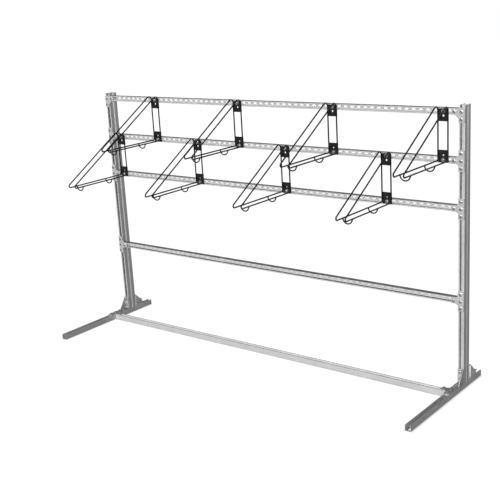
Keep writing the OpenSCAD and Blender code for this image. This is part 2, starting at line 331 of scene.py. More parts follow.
def tidy(mesh: bpy.types.Mesh, merge: bool = True) -> bpy.types.Mesh:
    """Turns normals outwards and sets smooth shading with sharp creases.

    Args:
        mesh: The mesh, which is changed.
        merge: Whether doubles are merged and empty faces dropped first.

    Returns:
        The same mesh.
    """
    work = bmesh.new()
    work.from_mesh(mesh)
    if merge:
        bmesh.ops.remove_doubles(work, verts=work.verts, dist=WELD_DISTANCE)
        bmesh.ops.dissolve_degenerate(work, edges=work.edges, dist=WELD_DISTANCE / 2)
    bmesh.ops.recalc_face_normals(work, faces=work.faces)
    work.to_mesh(mesh)
    work.free()
    mesh.shade_smooth()
    mesh.set_sharp_from_angle(angle=SHARP_ANGLE)
    return mesh


def path_mesh(name: str, paths: Sequence[Sequence[Vector]], closed: bool = False) -> bpy.types.Mesh:
    """A mesh of edges only.

    Args:
        name: The mesh's name.
        paths: The points of each run of edges.
        closed: Whether each run goes back to its first point.

    Returns:
        The mesh.
    """
    points, edges = [], []
    for path in paths:
        start, count = len(points), len(path)
        points.extend(tuple(p) for p in path)
        edges.extend((start + k, start + k + 1) for k in range(count - 1))
        if closed:
            edges.append((start + count - 1, start))
    mesh = bpy.data.meshes.new(name)
    mesh.from_pydata(points, edges, [])
    return mesh


def joined(name: str, meshes: Sequence[bpy.types.Mesh], finish: bpy.types.Material,
           merge: bool = False) -> bpy.types.Mesh:
    """Puts several meshes into one.

    Args:
        name: The new mesh's name.
        meshes: What goes into it.
        finish: Its material.
        merge: Whether touching points are merged.

    Returns:
        The new mesh, tidied.
    """
    work = bmesh.new()
    for mesh in meshes:
        work.from_mesh(mesh)
    result = bpy.data.meshes.new(name)
    work.to_mesh(result)
    work.free()
    result.materials.clear()
    result.materials.append(finish)
    result.polygons.foreach_set("material_index", [0] * len(result.polygons))
    return tidy(result, merge)


def show(name: str, mesh: bpy.types.Mesh, slot: str, *nodes: str) -> bpy.types.Object:
    """Makes a piece of a finished mesh that stands for CAD nodes and rides on the rack.

    Args:
        name: The piece's name.
        mesh: Its mesh, in the rack's own frame.
        slot: Name of a material slot; not used.
        *nodes: The nodes that it replaces.

    Returns:
        The piece.
    """
    piece = bpy.data.objects.new(name, mesh)
    bpy.context.scene.collection.objects.link(piece)
    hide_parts(*nodes)
    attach(piece, BODY)
    log.info("%s: %d faces for %s", name, len(mesh.polygons), ", ".join(nodes))
    return piece


class Tree:
    """A node tree and short ways to fill it."""

    def __init__(self, tree: bpy.types.NodeTree) -> None:
        """Keeps the tree that gets the nodes."""
        self.tree = tree

    def feed(self, socket: Socket, value: Any) -> None:
        """Gives an input its value.

        Args:
            socket: The input.
            value: A constant, or the output that is linked in.
        """
        if isinstance(value, Socket):
            self.tree.links.new(value, socket)
        else:
            socket.default_value = value

    def node(self, kind: str, inputs: dict | None = None, **settings: Any) -> bpy.types.Node:
        """Adds a node.

        Args:
            kind: Blender's name of the node type.
            inputs: Socket name or number to its value, as feed takes it.
            **settings: Properties of the node.

        Returns:
            The new node.
        """
        node = self.tree.nodes.new(kind)
        for name, value in settings.items():
            setattr(node, name, value)
        for key, value in (inputs or {}).items():
            self.feed(node.inputs[key], value)
        return node

    def add(self, kind: str, inputs: dict | None = None, output: int | str = 0, **settings: Any) -> Socket:
        """Adds a node and returns one of its outputs."""
        return self.node(kind, inputs, **settings).outputs[output]

    def maths(self, operation: str, *values: Any) -> Socket:
        """Adds a Math node and returns its result."""
        return self.add("ShaderNodeMath", dict(enumerate(values)), operation=operation)

    def product(self, *values: Any) -> Socket:
        """Multiplies values, one after the other."""
        return reduce(lambda total, value: self.maths("MULTIPLY", total, value), values)


class Recipe(Tree):
    """A Geometry Nodes tree with named inputs, applied to a mesh and turned back into a plain mesh."""

    def __init__(self, name: str, inputs: dict[str, str]) -> None:
        """Makes the tree and its inputs.

        Args:
            name: The tree's name.
            inputs: Input name to kind of socket, after the geometry and the finish that every tree has.
        """
        super().__init__(bpy.data.node_groups.new(name, "GeometryNodeTree"))
        self.tree.is_modifier = True
        sockets = {"Geometry": "Geometry", "Finish": "Material", **inputs}
        for socket, kind in sockets.items():
            self.tree.interface.new_socket(name=socket, in_out="INPUT", socket_type=f"NodeSocket{kind}")
        self.tree.interface.new_socket(name="Geometry", in_out="OUTPUT", socket_type="NodeSocketGeometry")
        self.given = self.tree.nodes.new("NodeGroupInput").outputs

    def end(self, geometry: Socket) -> "Recipe":
        """Realizes the instances, sets the finish and links the result to the tree's output.

        Args:
            geometry: What the tree has made.

        Returns:
            The recipe, ready to run.
        """
        solid = self.add("GeometryNodeRealizeInstances", {"Geometry": geometry})
        done = self.add("GeometryNodeSetMaterial", {"Geometry": solid, "Material": self.given["Finish"]})
        self.node("NodeGroupOutput", {"Geometry": done})
        return self

    def run(self, mesh: bpy.types.Mesh, **values: Any) -> bpy.types.Mesh:
        """Applies the tree to a mesh.

        Args:
            mesh: What the tree gets as its geometry.
            **values: The other inputs by name.

        Returns:
            A new plain mesh.
        """
        carrier = bpy.data.objects.new("carrier", mesh)
        bpy.context.scene.collection.objects.link(carrier)
        modifier = carrier.modifiers.new(self.tree.name, "NODES")
        modifier.node_group = self.tree
        identifiers = {s.name: s.identifier for s in self.tree.interface.items_tree if s.in_out == "INPUT"}
        for name, value in values.items():
            modifier[identifiers[name]] = value
        bpy.context.view_layer.update()
        seen = carrier.evaluated_get(bpy.context.evaluated_depsgraph_get())
        made = bpy.data.meshes.new_from_object(seen)
        carrier.modifiers.remove(modifier)
        bpy.data.objects.remove(carrier)
        return made


def repeat_recipe() -> Recipe:
    """Repeats one pitch of channel along its length and merges the joints.

    Returns:
        The recipe, with the inputs Count and Pitch.
    """
    recipe = Recipe("Repeat along the channel", {"Count": "Int", "Pitch": "Float"})
    step = recipe.add("ShaderNodeCombineXYZ", {"Z": recipe.given["Pitch"]})
    line = recipe.add("GeometryNodeMeshLine", {"Count": recipe.given["Count"], "Offset": step})
    one = recipe.given["Geometry"]
    copies = recipe.add("GeometryNodeInstanceOnPoints", {"Points": line, "Instance": one})
    solid = recipe.add("GeometryNodeRealizeInstances", {"Geometry": copies})
    return recipe.end(recipe.add("GeometryNodeMergeByDistance", {
        "Geometry": solid, "Distance": WELD_DISTANCE}))


def fastener_recipe() -> Recipe:
    """Sets one fastener on every point, turned as the point's own angles say.

    Returns:
        The recipe, with the input Pattern, which is the fastener.
    """
    recipe = Recipe("Fasteners on their places", {"Pattern": "Object"})
    pattern = recipe.add("GeometryNodeObjectInfo", {"Object": recipe.given["Pattern"]}, "Geometry")
    angles = recipe.add("GeometryNodeInputNamedAttribute", {"Name": "turn"}, data_type="FLOAT_VECTOR")
    rotation = recipe.add("FunctionNodeEulerToRotation", {"Euler": angles})
    return recipe.end(recipe.add("GeometryNodeInstanceOnPoints", {
        "Points": recipe.given["Geometry"], "Instance": pattern, "Rotation": rotation}))


def sweep(recipe: Recipe, path: Socket, diameter: Socket, sides: Any, **more: Socket) -> Recipe:
    """Ends a recipe with a round section that is swept along a path and capped.

    Args:
        recipe: The recipe.
        path: The curve.
        diameter: Diameter of the section.
        sides: Number of its sides.
        **more: Other inputs of the sweep by name.

    Returns:
        The recipe, ready to run.
    """
    radius = recipe.product(diameter, 0.5)
    section = recipe.add("GeometryNodeCurvePrimitiveCircle", {"Resolution": sides, "Radius": radius})
    return recipe.end(recipe.add("GeometryNodeCurveToMesh", {
        "Curve": path, "Profile Curve": section, "Fill Caps": True, **more}))


def rod_recipe() -> Recipe:
    """Runs a round bar along each path of edges.

    Returns:
        The recipe, with the inputs Diameter and Sides.
    """
    recipe = Recipe("Rod along a path", {"Diameter": "Float", "Sides": "Int"})
    path = recipe.add("GeometryNodeMeshToCurve", {"Mesh": recipe.given["Geometry"]})
    return sweep(recipe, path, recipe.given["Diameter"], recipe.given["Sides"])


def bead_recipe() -> Recipe:
    """Lays a rippled weld bead along each path, thinner at an open end.

    Returns:
        The recipe, with the inputs Width, Ripple and Taper.
    """
    points_per_ripple, ripple_height, end_share, sides = 4.0, 0.13, 0.35, 10
    recipe = Recipe("Weld bead", {"Width": "Float", "Ripple": "Float", "Taper": "Float"})
    width, ripple, taper = (recipe.given[name] for name in ("Width", "Ripple", "Taper"))
    path = recipe.add("GeometryNodeMeshToCurve", {"Mesh": recipe.given["Geometry"]})
    step = recipe.maths("DIVIDE", ripple, points_per_ripple)
    fine = recipe.add("GeometryNodeResampleCurve", {"Curve": path, "Length": step}, mode="LENGTH")
    along = recipe.node("GeometryNodeSplineParameter").outputs
    phase = recipe.product(recipe.maths("DIVIDE", along["Length"], ripple), math.tau)
    wave = recipe.product(recipe.maths("SINE", phase), ripple_height)
    to_and_fro = recipe.maths("SUBTRACT", recipe.product(along["Factor"], 2.0), 1.0)
    from_end = recipe.maths("SUBTRACT", 1.0, recipe.maths("ABSOLUTE", to_and_fro))
    fade = recipe.maths("MINIMUM", 1.0, recipe.maths("ADD", end_share, recipe.product(from_end, taper)))
    scale = recipe.product(fade, recipe.maths("ADD", 1.0, wave))
    return sweep(recipe, fine, width, sides, Scale=scale)


def middle(node: str, axis: int) -> float:
    """Middle of a node's box along one axis."""
    low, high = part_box(node)
    return (low[axis] + high[axis]) / 2


@dataclass(frozen=True)
class Layout:
    """Planes and centre lines of the frame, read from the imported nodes."""

    face_y: float
    seam_y: float
    back_y: float
    post_x: float
    foot_top: float
    bar_y: float
    rail_z: tuple[float, ...]
    hook_x: tuple[float, ...]

    @classmethod
    def read(cls) -> "Layout":
        """Reads the layout from the nodes' boxes.

        Returns:
            The layout.
        """
        hooks = sum(1 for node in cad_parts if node.endswith("_loops"))
        return cls(
            face_y=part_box("upright_right_front")[0].y,
            seam_y=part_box("upright_right_front")[1].y,
            back_y=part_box("upright_right_rear")[1].y,
            post_x=middle("upright_right_front", 0),
            foot_top=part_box("foot_right")[1].z,
            bar_y=middle("floor_bar", 1),
            rail_z=tuple(middle(f"rail_{k}", 2) for k in range(1, 5)),
            hook_x=tuple(middle(f"hook_{k}_loops", 0) for k in range(1, hooks + 1)),
        )


class Shader(Tree):
    """A procedural material on Object coordinates."""

    def __init__(self, name: str) -> None:
        """Makes the material with its Principled shader.

        Args:
            name: The material's name.
        """
        self.material = bpy.data.materials.new(name)
        self.material.use_nodes = True
        super().__init__(self.material.node_tree)
        self.surface = self.tree.nodes["Principled BSDF"]
        self.place = self.add("ShaderNodeTexCoord", output="Object")

    def noise(self, scale: float, detail: float, rough: float = 0.55, where: Socket | None = None) -> Socket:
        """Noise between 0 and 1."""
        inputs = {"Vector": where or self.place, "Scale": scale, "Detail": detail, "Roughness": rough}
        return self.add("ShaderNodeTexNoise", inputs, "Fac")

    def normal(self, axis: str) -> Socket:
        """How far the surface faces along an axis, from -1 to 1."""
        direction = self.add("ShaderNodeNewGeometry", output="Normal")
        return self.add("ShaderNodeSeparateXYZ", {"Vector": direction}, axis)

    def distance(self, value: Socket, from_here: float) -> Socket:
        """How far a value is from another."""
        return self.maths("ABSOLUTE", self.maths("SUBTRACT", value, from_here))

    def weighted(self, *terms: tuple[Socket, float]) -> Socket:
        """Adds values up, each times its weight."""
        return reduce(lambda a, b: self.maths("ADD", a, b), [self.product(*term) for term in terms])

    def band(self, value: Socket, low: float, high: float, start: float = 0.0, end: float = 1.0) -> Socket:
        """Maps a value from one range to another, clamped and smooth."""
        inputs = {"Value": value, "From Min": low, "From Max": high, "To Min": start, "To Max": end}
        return self.add("ShaderNodeMapRange", inputs, interpolation_type="SMOOTHSTEP")

    def mixed(self, share: Socket, first: Socket | Colour, second: Socket | Colour) -> Socket:
        """Mixes two colours."""
        first, second = ((*c, 1.0) if isinstance(c, tuple) else c for c in (first, second))
        return self.add("ShaderNodeMix", {0: share, 6: first, 7: second}, 2, data_type="RGBA")

    def bump(self, height: Socket, distance: float, strength: float, under: Socket | None = None) -> Socket:
        """A bump of a given height in metres, over another bump if one is given."""
        inputs = {"Height": height, "Distance": distance, "Strength": strength}
        return self.add("ShaderNodeBump", inputs if under is None else {**inputs, "Normal": under})

    def finish(self, inputs: dict[str, Any]) -> bpy.types.Material:
        """Sets the Principled shader's inputs.

        Args:
            inputs: Input name to its constant, or to the socket that drives it.

        Returns:
            The material.
        """
        for name, value in inputs.items():
            self.feed(self.surface.inputs[name], value)
        return self.material


@dataclass(frozen=True)
class ZincFinish:
    """Galvanised steel: soft cloudy tone, faint crystals, rolling lines, and dust with painted shade on what
    looks up.
    """

    name: str
    light: Colour
    dark: Colour
    rough: Span = (0.38, 0.56)
    grain: Grain = Grain.NONE
    crystal: float = 110.0
    crystal_tone: float = 0.10
    crystal_height: float = 0.04 * MM
    line_height: float = 0.03 * MM
    crystal_bump: float = 0.35
    line_bump: float = 0.5
    relief: float = 1.0
    cloud_scale: float = 7.0
    line_scale: float = 420.0
    cloud_tone: float = 0.9
    line_tone: float = 0.35
    tone_span: Span = (0.35, 0.95)
    cloud_wear: float = 0.6
    crystal_wear: float = 0.4
    wear_span: Span = (0.2, 0.8)
    metallic: float = 0.25
    specular: float = 0.35
    # Darkening of faces that look up: dust, and painted shade of the tops
    grime: float = 0.0
    grime_tone: float = 0.105
    facing_up: Span = (0.2, 0.75)
    patch_scale: float = 26.0
    patch_span: Span = (0.2, 0.7)
    patch_share: Span = (0.86, 1.0)

    def build(self) -> bpy.types.Material:
        """Makes the material.

        Returns:
            The material.
        """
        s = Shader(self.name)
        cells = s.node("ShaderNodeTexVoronoi", {"Vector": s.place, "Scale": self.crystal}).outputs
        crystal = s.add("ShaderNodeSeparateColor", {"Color": cells["Color"]})
        cloud = s.noise(self.cloud_scale, detail=4.0)
        drawn = s.add("ShaderNodeMapping", {"Vector": s.place, "Scale": self.grain.value})
        lines = s.noise(self.line_scale, detail=2.0, where=drawn)
        tone = s.weighted((cloud, self.cloud_tone), (lines, self.line_tone), (crystal, self.crystal_tone))
        wear = s.weighted((cloud, self.cloud_wear), (crystal, self.crystal_wear))
        inputs = {
            "Base Color": s.mixed(s.band(tone, *self.tone_span), self.light, self.dark),
            "Roughness": s.band(wear, *self.wear_span, *self.rough),
            "Metallic": self.metallic,
            "Specular IOR Level": self.specular,
        }
        self.age(s, inputs)
        edges = s.bump(cells["Distance"], self.crystal_height, self.crystal_bump * self.relief)
        inputs["Normal"] = s.bump(lines, self.line_height, self.line_bump * self.relief, edges)
        return s.finish(inputs)

    def age(self, s: Shader, inputs: dict[str, Any]) -> None:
        """Adds dust and painted shade on faces that look up: a darker tone without gloss.

        Args:
            s: The material's builder.
            inputs: The shader's inputs so far, which this changes.
        """
        if not self.grime:
            return
        patch = s.band(s.noise(self.patch_scale, detail=5.0, rough=0.62), *self.patch_span, *self.patch_share)
        # Painted shade: faces that look up are darkened and dulled, standing for dust and for the shade on
        # tops
        share = s.product(s.band(s.normal("Z"), *self.facing_up), patch, self.grime)
        undarkened = s.maths("SUBTRACT", 1.0, share)
        inputs["Base Color"] = s.mixed(share, inputs["Base Color"], (self.grime_tone,) * 3)
        inputs["Metallic"] = s.product(undarkened, self.metallic)
        inputs["Specular IOR Level"] = s.product(undarkened, self.specular)


@dataclass(frozen=True)
class UprightFinish(ZincFinish):
    """Galvanised steel of the uprights, with painted shade on the side faces and the inner walls, and a
    painted highlight at the welded seam.

    Each span of distances runs from where a layer starts to where it is full. The spans of the shaded inner
    walls and of the outer wall are measured from the upright's middle, and beside_seam from its seam.
    """

    # Painted shade: faces turned to ±x are darkened as if shaded
    wall_tone: float = 0.4
    wall_share: float = 0.25
    # Painted shade: the channel's inner walls are darkened where shade falls inside it
    dust_tone: float = 0.26
    dust_share: float = 0.85
    # Painted highlight: a bright, more metallic band along the welded seam
    seam_tone: float = 0.95
    seam_metallic: float = 0.95
    facing_sideways: Span = (0.5, 0.9)
    dust_from: Span = (14.5 * MM, 15.5 * MM)
    dust_to: Span = (19.4 * MM, 18.6 * MM)
    outer_wall: Span = (19.4 * MM, 20.2 * MM)
    beside_seam: Span = (9 * MM, 7 * MM)

    def age(self, s: Shader, inputs: dict[str, Any]) -> None:
        """Adds the dust and painted shade of every finish, then the painted shade of the walls and the
        painted highlight at the seam.

        Args:
            s: The material's builder.
            inputs: The shader's inputs so far, which this changes.
        """
        super().age(s, inputs)
        layout = Layout.read()
        place = s.node("ShaderNodeSeparateXYZ", {"Vector": s.place}).outputs
        turned = s.band(s.maths("ABSOLUTE", s.normal("X")), *self.facing_sideways)
        away = s.distance(s.maths("ABSOLUTE", place["X"]), layout.post_x)
        # Where the painted shade of the inner walls lies
        inside = s.product(s.band(away, *self.dust_to), s.band(away, *self.dust_from))
        beside = s.band(s.distance(place["Y"], layout.seam_y), *self.beside_seam)
        # Painted highlight band along the seam on the outer walls
        seam = s.product(s.band(away, *self.outer_wall), beside)
        # Painted shade on the side faces and inner walls, and a painted highlight along the seam
        layers = ((s.product(turned, self.wall_share), self.wall_tone),
                  (s.product(inside, turned, self.dust_share), self.dust_tone),
                  (seam, self.seam_tone))
        for share, tone in layers:
            inputs["Base Color"] = s.mixed(share, inputs["Base Color"], (tone,) * 3)
        inputs["Metallic"] = s.maths("MAXIMUM", inputs["Metallic"], s.product(seam, self.seam_metallic))


@dataclass(frozen=True)
class PlatedFinish(ZincFinish):
    """Zinc-plated plate, with finer crystals."""

    rough: Span = (0.34, 0.5)
    crystal: float = 240.0
    crystal_tone: float = 0.05


@dataclass(frozen=True)
class BrightFinish(ZincFinish):
    """Bright zinc of bolts and washers, almost smooth."""

    rough: Span = (0.28, 0.36)
    crystal: float = 600.0
    crystal_tone: float = 0.04
    relief: float = 0.15
    metallic: float = 0.92


@dataclass(frozen=True)
class PowderCoat:
    """Black powder coat with orange peel and, where it is rubbed in use, a grey polish."""

    name: str
    light: Colour = (0.010, 0.010, 0.011)
    dark: Colour = (0.004, 0.004, 0.005)
    rough: Span = (0.38, 0.52)
    specular: float = 0.2
    rubbed: float = 0.0
    rubbed_colour: Colour = (0.055, 0.053, 0.050)
    polish: float = 0.16
    facing_up: Span = (0.1, 0.9)
    scuff_scale: float = 160.0
    scuff_span: Span = (0.35, 0.6)
    cloud_scale: float = 34.0
    cloud_span: Span = (0.3, 0.7)
    peel_scale: float = 900.0
    peel_height: float = 0.06 * MM
    peel_bump: float = 0.4

    def build(self) -> bpy.types.Material:
        """Makes the material.

        Returns:
            The material.
        """
        s = Shader(self.name)
        cloud = s.noise(self.cloud_scale, detail=4.0)
        peel = s.noise(self.peel_scale, detail=1.5)
        colour = s.mixed(s.band(cloud, *self.cloud_span), self.dark, self.light)
        rough = s.band(cloud, *self.cloud_span, *self.rough)
        if self.rubbed:
            scuffs = s.band(s.noise(self.scuff_scale, detail=4.0), *self.scuff_span)
            rub = s.product(s.band(s.normal("Z"), *self.facing_up), scuffs, self.rubbed)
            colour = s.mixed(rub, colour, self.rubbed_colour)
            rough = s.maths("SUBTRACT", rough, s.product(rub, self.polish))
        return s.finish({"Base Color": colour, "Roughness": rough, "Specular IOR Level": self.specular,
                         "Normal": s.bump(peel, self.peel_height, self.peel_bump)})


class Finish(Enum):
    """Every finish of the rack, made into a material when it is first used."""

    RAIL = ZincFinish("galvanised_rail", (0.79, 0.793, 0.795), (0.66, 0.663, 0.665),
                      grain=Grain.ALONG_X, grime=0.96, grime_tone=0.07)
    FLOOR_BAR = ZincFinish("galvanised_floor_bar", (0.72, 0.723, 0.725), (0.59, 0.593, 0.595),
                           grain=Grain.ALONG_X, grime=0.68)
    FOOT = ZincFinish("galvanised_foot", (0.75, 0.753, 0.755), (0.60, 0.603, 0.605),
                      grain=Grain.ALONG_Y, grime=0.85)
    UPRIGHT = UprightFinish("galvanised_upright", (0.76, 0.763, 0.765), (0.62, 0.623, 0.625),
                            grain=Grain.ALONG_Z, grime=0.9)
    PLATE = PlatedFinish("zinc_plate", (0.64, 0.64, 0.64), (0.51, 0.51, 0.51))
    # Soiled finishes: dust and painted shade darken the faces that look up
    FLOOR_PLATE = PlatedFinish("zinc_plate_soiled", (0.6, 0.6, 0.61), (0.46, 0.46, 0.47), (0.4, 0.58),
                               grime=0.92)
    # Painted shade and painted light: the front bracket is a darker copy and the rear bracket a lighter copy
    # of the same plated zinc
    BRACKET = PlatedFinish("zinc_bracket", (0.60, 0.60, 0.61), (0.46, 0.47, 0.48), grime=0.9)
    REAR_BRACKET = PlatedFinish("zinc_rear_bracket", (0.86, 0.86, 0.86), (0.76, 0.76, 0.76), grime=0.9)
    BOLT = BrightFinish("bright_zinc_bolt", (0.62, 0.62, 0.615), (0.54, 0.54, 0.54))
    BASE_BOLT = BrightFinish("soiled_zinc_bolt", (0.74, 0.74, 0.735), (0.66, 0.66, 0.66), grime=0.9)
    FRAME_WASHER = BrightFinish("bright_zinc_washer", (0.74, 0.74, 0.73), (0.64, 0.64, 0.64), (0.3, 0.38),
                                metallic=0.4, grime=0.8)
    BASE_WASHER = BrightFinish("soiled_zinc_washer", (0.5, 0.5, 0.5), (0.4, 0.4, 0.4), (0.4, 0.5),
                               metallic=0.5, relief=0.3, grime=0.9)
    HOOK_WASHER = BrightFinish("dull_zinc_washer", (0.17, 0.17, 0.17), (0.12, 0.12, 0.12), (0.45, 0.55),
                               metallic=0.3, relief=0.3)
    NUT = ZincFinish("zinc_nut", (0.66, 0.66, 0.65), (0.5, 0.5, 0.5), (0.3, 0.45), crystal=500.0,
                     crystal_tone=0.05, metallic=0.4)
    WIRE = PowderCoat("black_wire")
    SADDLE = PowderCoat("black_wire_rubbed", rubbed=0.8)
    BLACK_PLATE = PowderCoat("black_plate", light=(0.018, 0.018, 0.020), dark=(0.009, 0.009, 0.010))

    @cached_property
    def material(self) -> bpy.types.Material:
        """The finish's material, built once."""
        return self.value.build()


@dataclass
class StrutFrame:
    """The eleven lengths of slotted strut channel: feet, uprights, rails and floor bar."""

    wall: float = 2.7 * MM
    opening: float = 22.3 * MM
    lip_depth: float = 7.2 * MM
    corner: float = 3.8 * MM
    fillet: float = 0.5 * MM
    slot_length: float = 28.6 * MM
    slot_width: float = 14.3 * MM
    pitch: float = 50.8 * MM
    edge: float = 0.4 * MM
    margin: float = 0.5 * MM
    slot_steps: int = 7

    def __post_init__(self) -> None:
        """Reads the channel's width from a rail and works out its section once."""
        low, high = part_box("rail_1")
        self.width = high.y - low.y
        right = self.half_section()
        self.section = right + [Vector((-p.x, p.y)) for p in reversed(right)]
        self.recipe = repeat_recipe()

    def half_section(self) -> Outline:
        """Outline of the right half, from the back's outer middle round the lip to its inner middle.

        Returns:
            The outline, whose mirror image completes it clockwise.
        """
        w, t, r, m, e, fillet = self.width, self.wall, self.corner, self.margin, self.edge, self.fillet
        half, lip, inner, tip = w / 2, self.opening / 2, self.corner - self.wall, self.lip_depth - self.edge
        # Centre, radius, first and last angle, chords, and the flat margins before and after
        bends = (
            ((half - r, w - r), r, 90, 0, 6, m, m),
            ((half - r, r), r, 0, -90, 6, m, m),
            ((lip + t, t), t, 270, 180, 5, m, m),
            ((lip + e, tip), e, 180, 90, 3, m / 2, 0),
            ((lip + t - e, tip), e, 90, 0, 3, 0, m / 2),
            ((lip + t + fillet, t + fillet), fillet, 180, 270, 3, m, m),
            ((half - t - inner, t + inner), inner, -90, 0, 4, m, m),
            ((half - t - inner, w - t - inner), inner, 0, 90, 4, m, m),
        )
        return [point for one in bends for point in bend(*one)]

    def walls(self, shell: Shell, start: float, end: float) -> None:
        """Adds the long faces between two heights, without the middle of the back.

        Args:
            shell: Gets the faces.
            start: Lower end.
            end: Upper end.
        """
        half = len(self.section) // 2
        for outline in (self.section[:half], self.section[half:]):
            shell.bridge([[Vector((*p, z)) for p in outline] for z in (start, end)], closed=False)

    def slot_outline(self, grow: float) -> Outline:
        """A slot with round ends in the plane of the back, counter-clockwise in (x, z).

        Args:
            grow: How far it is wider all round than the punched slot.

        Returns:
            The outline.
        """
        radius, reach = self.slot_width / 2 + grow, (self.slot_length - self.slot_width) / 2
        centre = self.pitch / 2
        return (arc((0, centre + reach), radius, 0, 180, self.slot_steps)
                + arc((0, centre - reach), radius, 180, 360, self.slot_steps))

    def back_with_slot(self, shell: Shell) -> None:
        """Adds one pitch of the back's middle with a punched slot that has broken edges.

        Args:
            shell: Gets the faces.
        """
        w, t, e = self.width, self.wall, self.edge
        side = self.section[0].x
        levels = ((e, w), (0.0, w - e), (0.0, w - t + e), (e, w - t))
        rings = [[Vector((p.x, y, p.y)) for p in self.slot_outline(grow)] for grow, y in levels]
        numbers = shell.bridge(rings)
        places = ((side, 0), (side, self.pitch), (-side, self.pitch), (-side, 0))
        for ring, y in ((numbers[0], w), (numbers[-1], w - t)):
            self.fan(shell, shell.add_ring([Vector((x, y, z)) for x, z in places]), ring)

    def fan(self, shell: Shell, corners: Sequence[int], ring: Sequence[int]) -> None:
        """Fills between a rectangle and a slot by fans of triangles.

        Args:
            shell: Gets the faces.
            corners: Point numbers of the rectangle's corners.
            ring: Point numbers of the slot.
        """
        count, half = len(ring), self.slot_steps + 1
        quarter = half // 2
        spans = ((-quarter, 0, 0), (0, quarter, 1), (quarter, half, 2), (half, half + quarter, 3))
        for first, last, corner in spans:
            for k in range(first, last):
                shell.faces.append((corners[corner], ring[(k + 1) % count], ring[k % count]))
        for corner, k in enumerate((0, quarter, half, half + quarter)):
            shell.faces.append((corners[corner], corners[(corner + 1) % 4], ring[k % count]))

    def cap(self, shell: Shell, z: float, inward: float) -> None:
        """Closes a sawn end with a small broken edge.

        Args:
            shell: Gets the faces.
            z: Height of the end.
            inward: The sign of z towards the steel.
        """
        outline = list(reversed(self.section))
        inner = [Vector((*p, z)) for p in inset(outline, self.edge / 2)]
        outer = [Vector((*p, z + inward * self.edge / 2)) for p in outline]
        shell.fill([shell.bridge([outer, inner])[1]])

    def end_faces(self, start: float, length: float) -> Shell:
        """The two sawn ends, and the plain stretch behind the last whole pitch.

        Args:
            start: Where the last whole pitch ends.
            length: Length of the channel.

        Returns:
            The faces.
        """
        shell, end = Shell(), length - self.edge / 2
        self.cap(shell, 0, 1)
        self.cap(shell, length, -1)
        if end > start:
            self.walls(shell, start, end)
            side = self.section[0].x
            for y in (self.width, self.width - self.wall):
                shell.bridge([[Vector((x, y, z)) for x in (-side, side)] for z in (start, end)], closed=False)
        return shell

    def snap_ends(self, mesh: bpy.types.Mesh, length: float) -> None:
        """Draws the walls' first and last rings onto the caps' broken edges, so that they merge.

        Args:
            mesh: The channel, which is changed.
            length: Its length.
        """
        e = self.edge / 2
        on_wall = {(round(p.x, 6), round(p.y, 6)) for p in self.section}
        for vertex in mesh.vertices:
            if (round(vertex.co.x, 6), round(vertex.co.y, 6)) in on_wall:
                vertex.co.z = min(max(vertex.co.z, e), length - e)

    def bar(self, node: str, run: Vector, back: Vector, finish: Finish) -> None:
        """Builds one length of channel in a node's place.

        Args:
            node: The node that it replaces.
            run: Direction of its length.
            back: Direction from its open side to its slotted back.
            finish: Its finish.
        """
        low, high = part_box(node)
        length = abs((high - low).dot(run))
        # Slots are counted as the part's source counts them
        count = math.floor((length - self.slot_length) / self.pitch + 0.5)
        steel = finish.material
        one = Shell()
        self.walls(one, 0, self.pitch)
        self.back_with_slot(one)
        long = self.recipe.run(one.mesh("one_pitch", steel), Finish=steel, Count=count, Pitch=self.pitch)
        ends = self.end_faces(count * self.pitch, length).mesh("ends", steel)
        mesh = joined(f"{node}_channel", [long, ends], steel)
        self.snap_ends(mesh, length)
        origin = (low + high) / 2 - run * (length / 2) - back * (self.width / 2)
        turn = Matrix((back.cross(run), back, run)).transposed().to_4x4()
        mesh.transform(Matrix.Translation(origin) @ turn)
        show(mesh.name, tidy(mesh), "galvanised_channel", node)

    def build(self) -> None:
        """Builds all the channels."""
        for side in Side:
            self.bar(f"foot_{side.word}", Y_AXIS, -Z_AXIS, Finish.FOOT)
            self.bar(f"upright_{side.word}_front", Z_AXIS, Y_AXIS, Finish.UPRIGHT)
            self.bar(f"upright_{side.word}_rear", Z_AXIS, -Y_AXIS, Finish.UPRIGHT)
        for k in range(1, 5):
            self.bar(f"rail_{k}", X_AXIS, Y_AXIS, Finish.RAIL)
        self.bar("floor_bar", X_AXIS, -Z_AXIS, Finish.FLOOR_BAR)


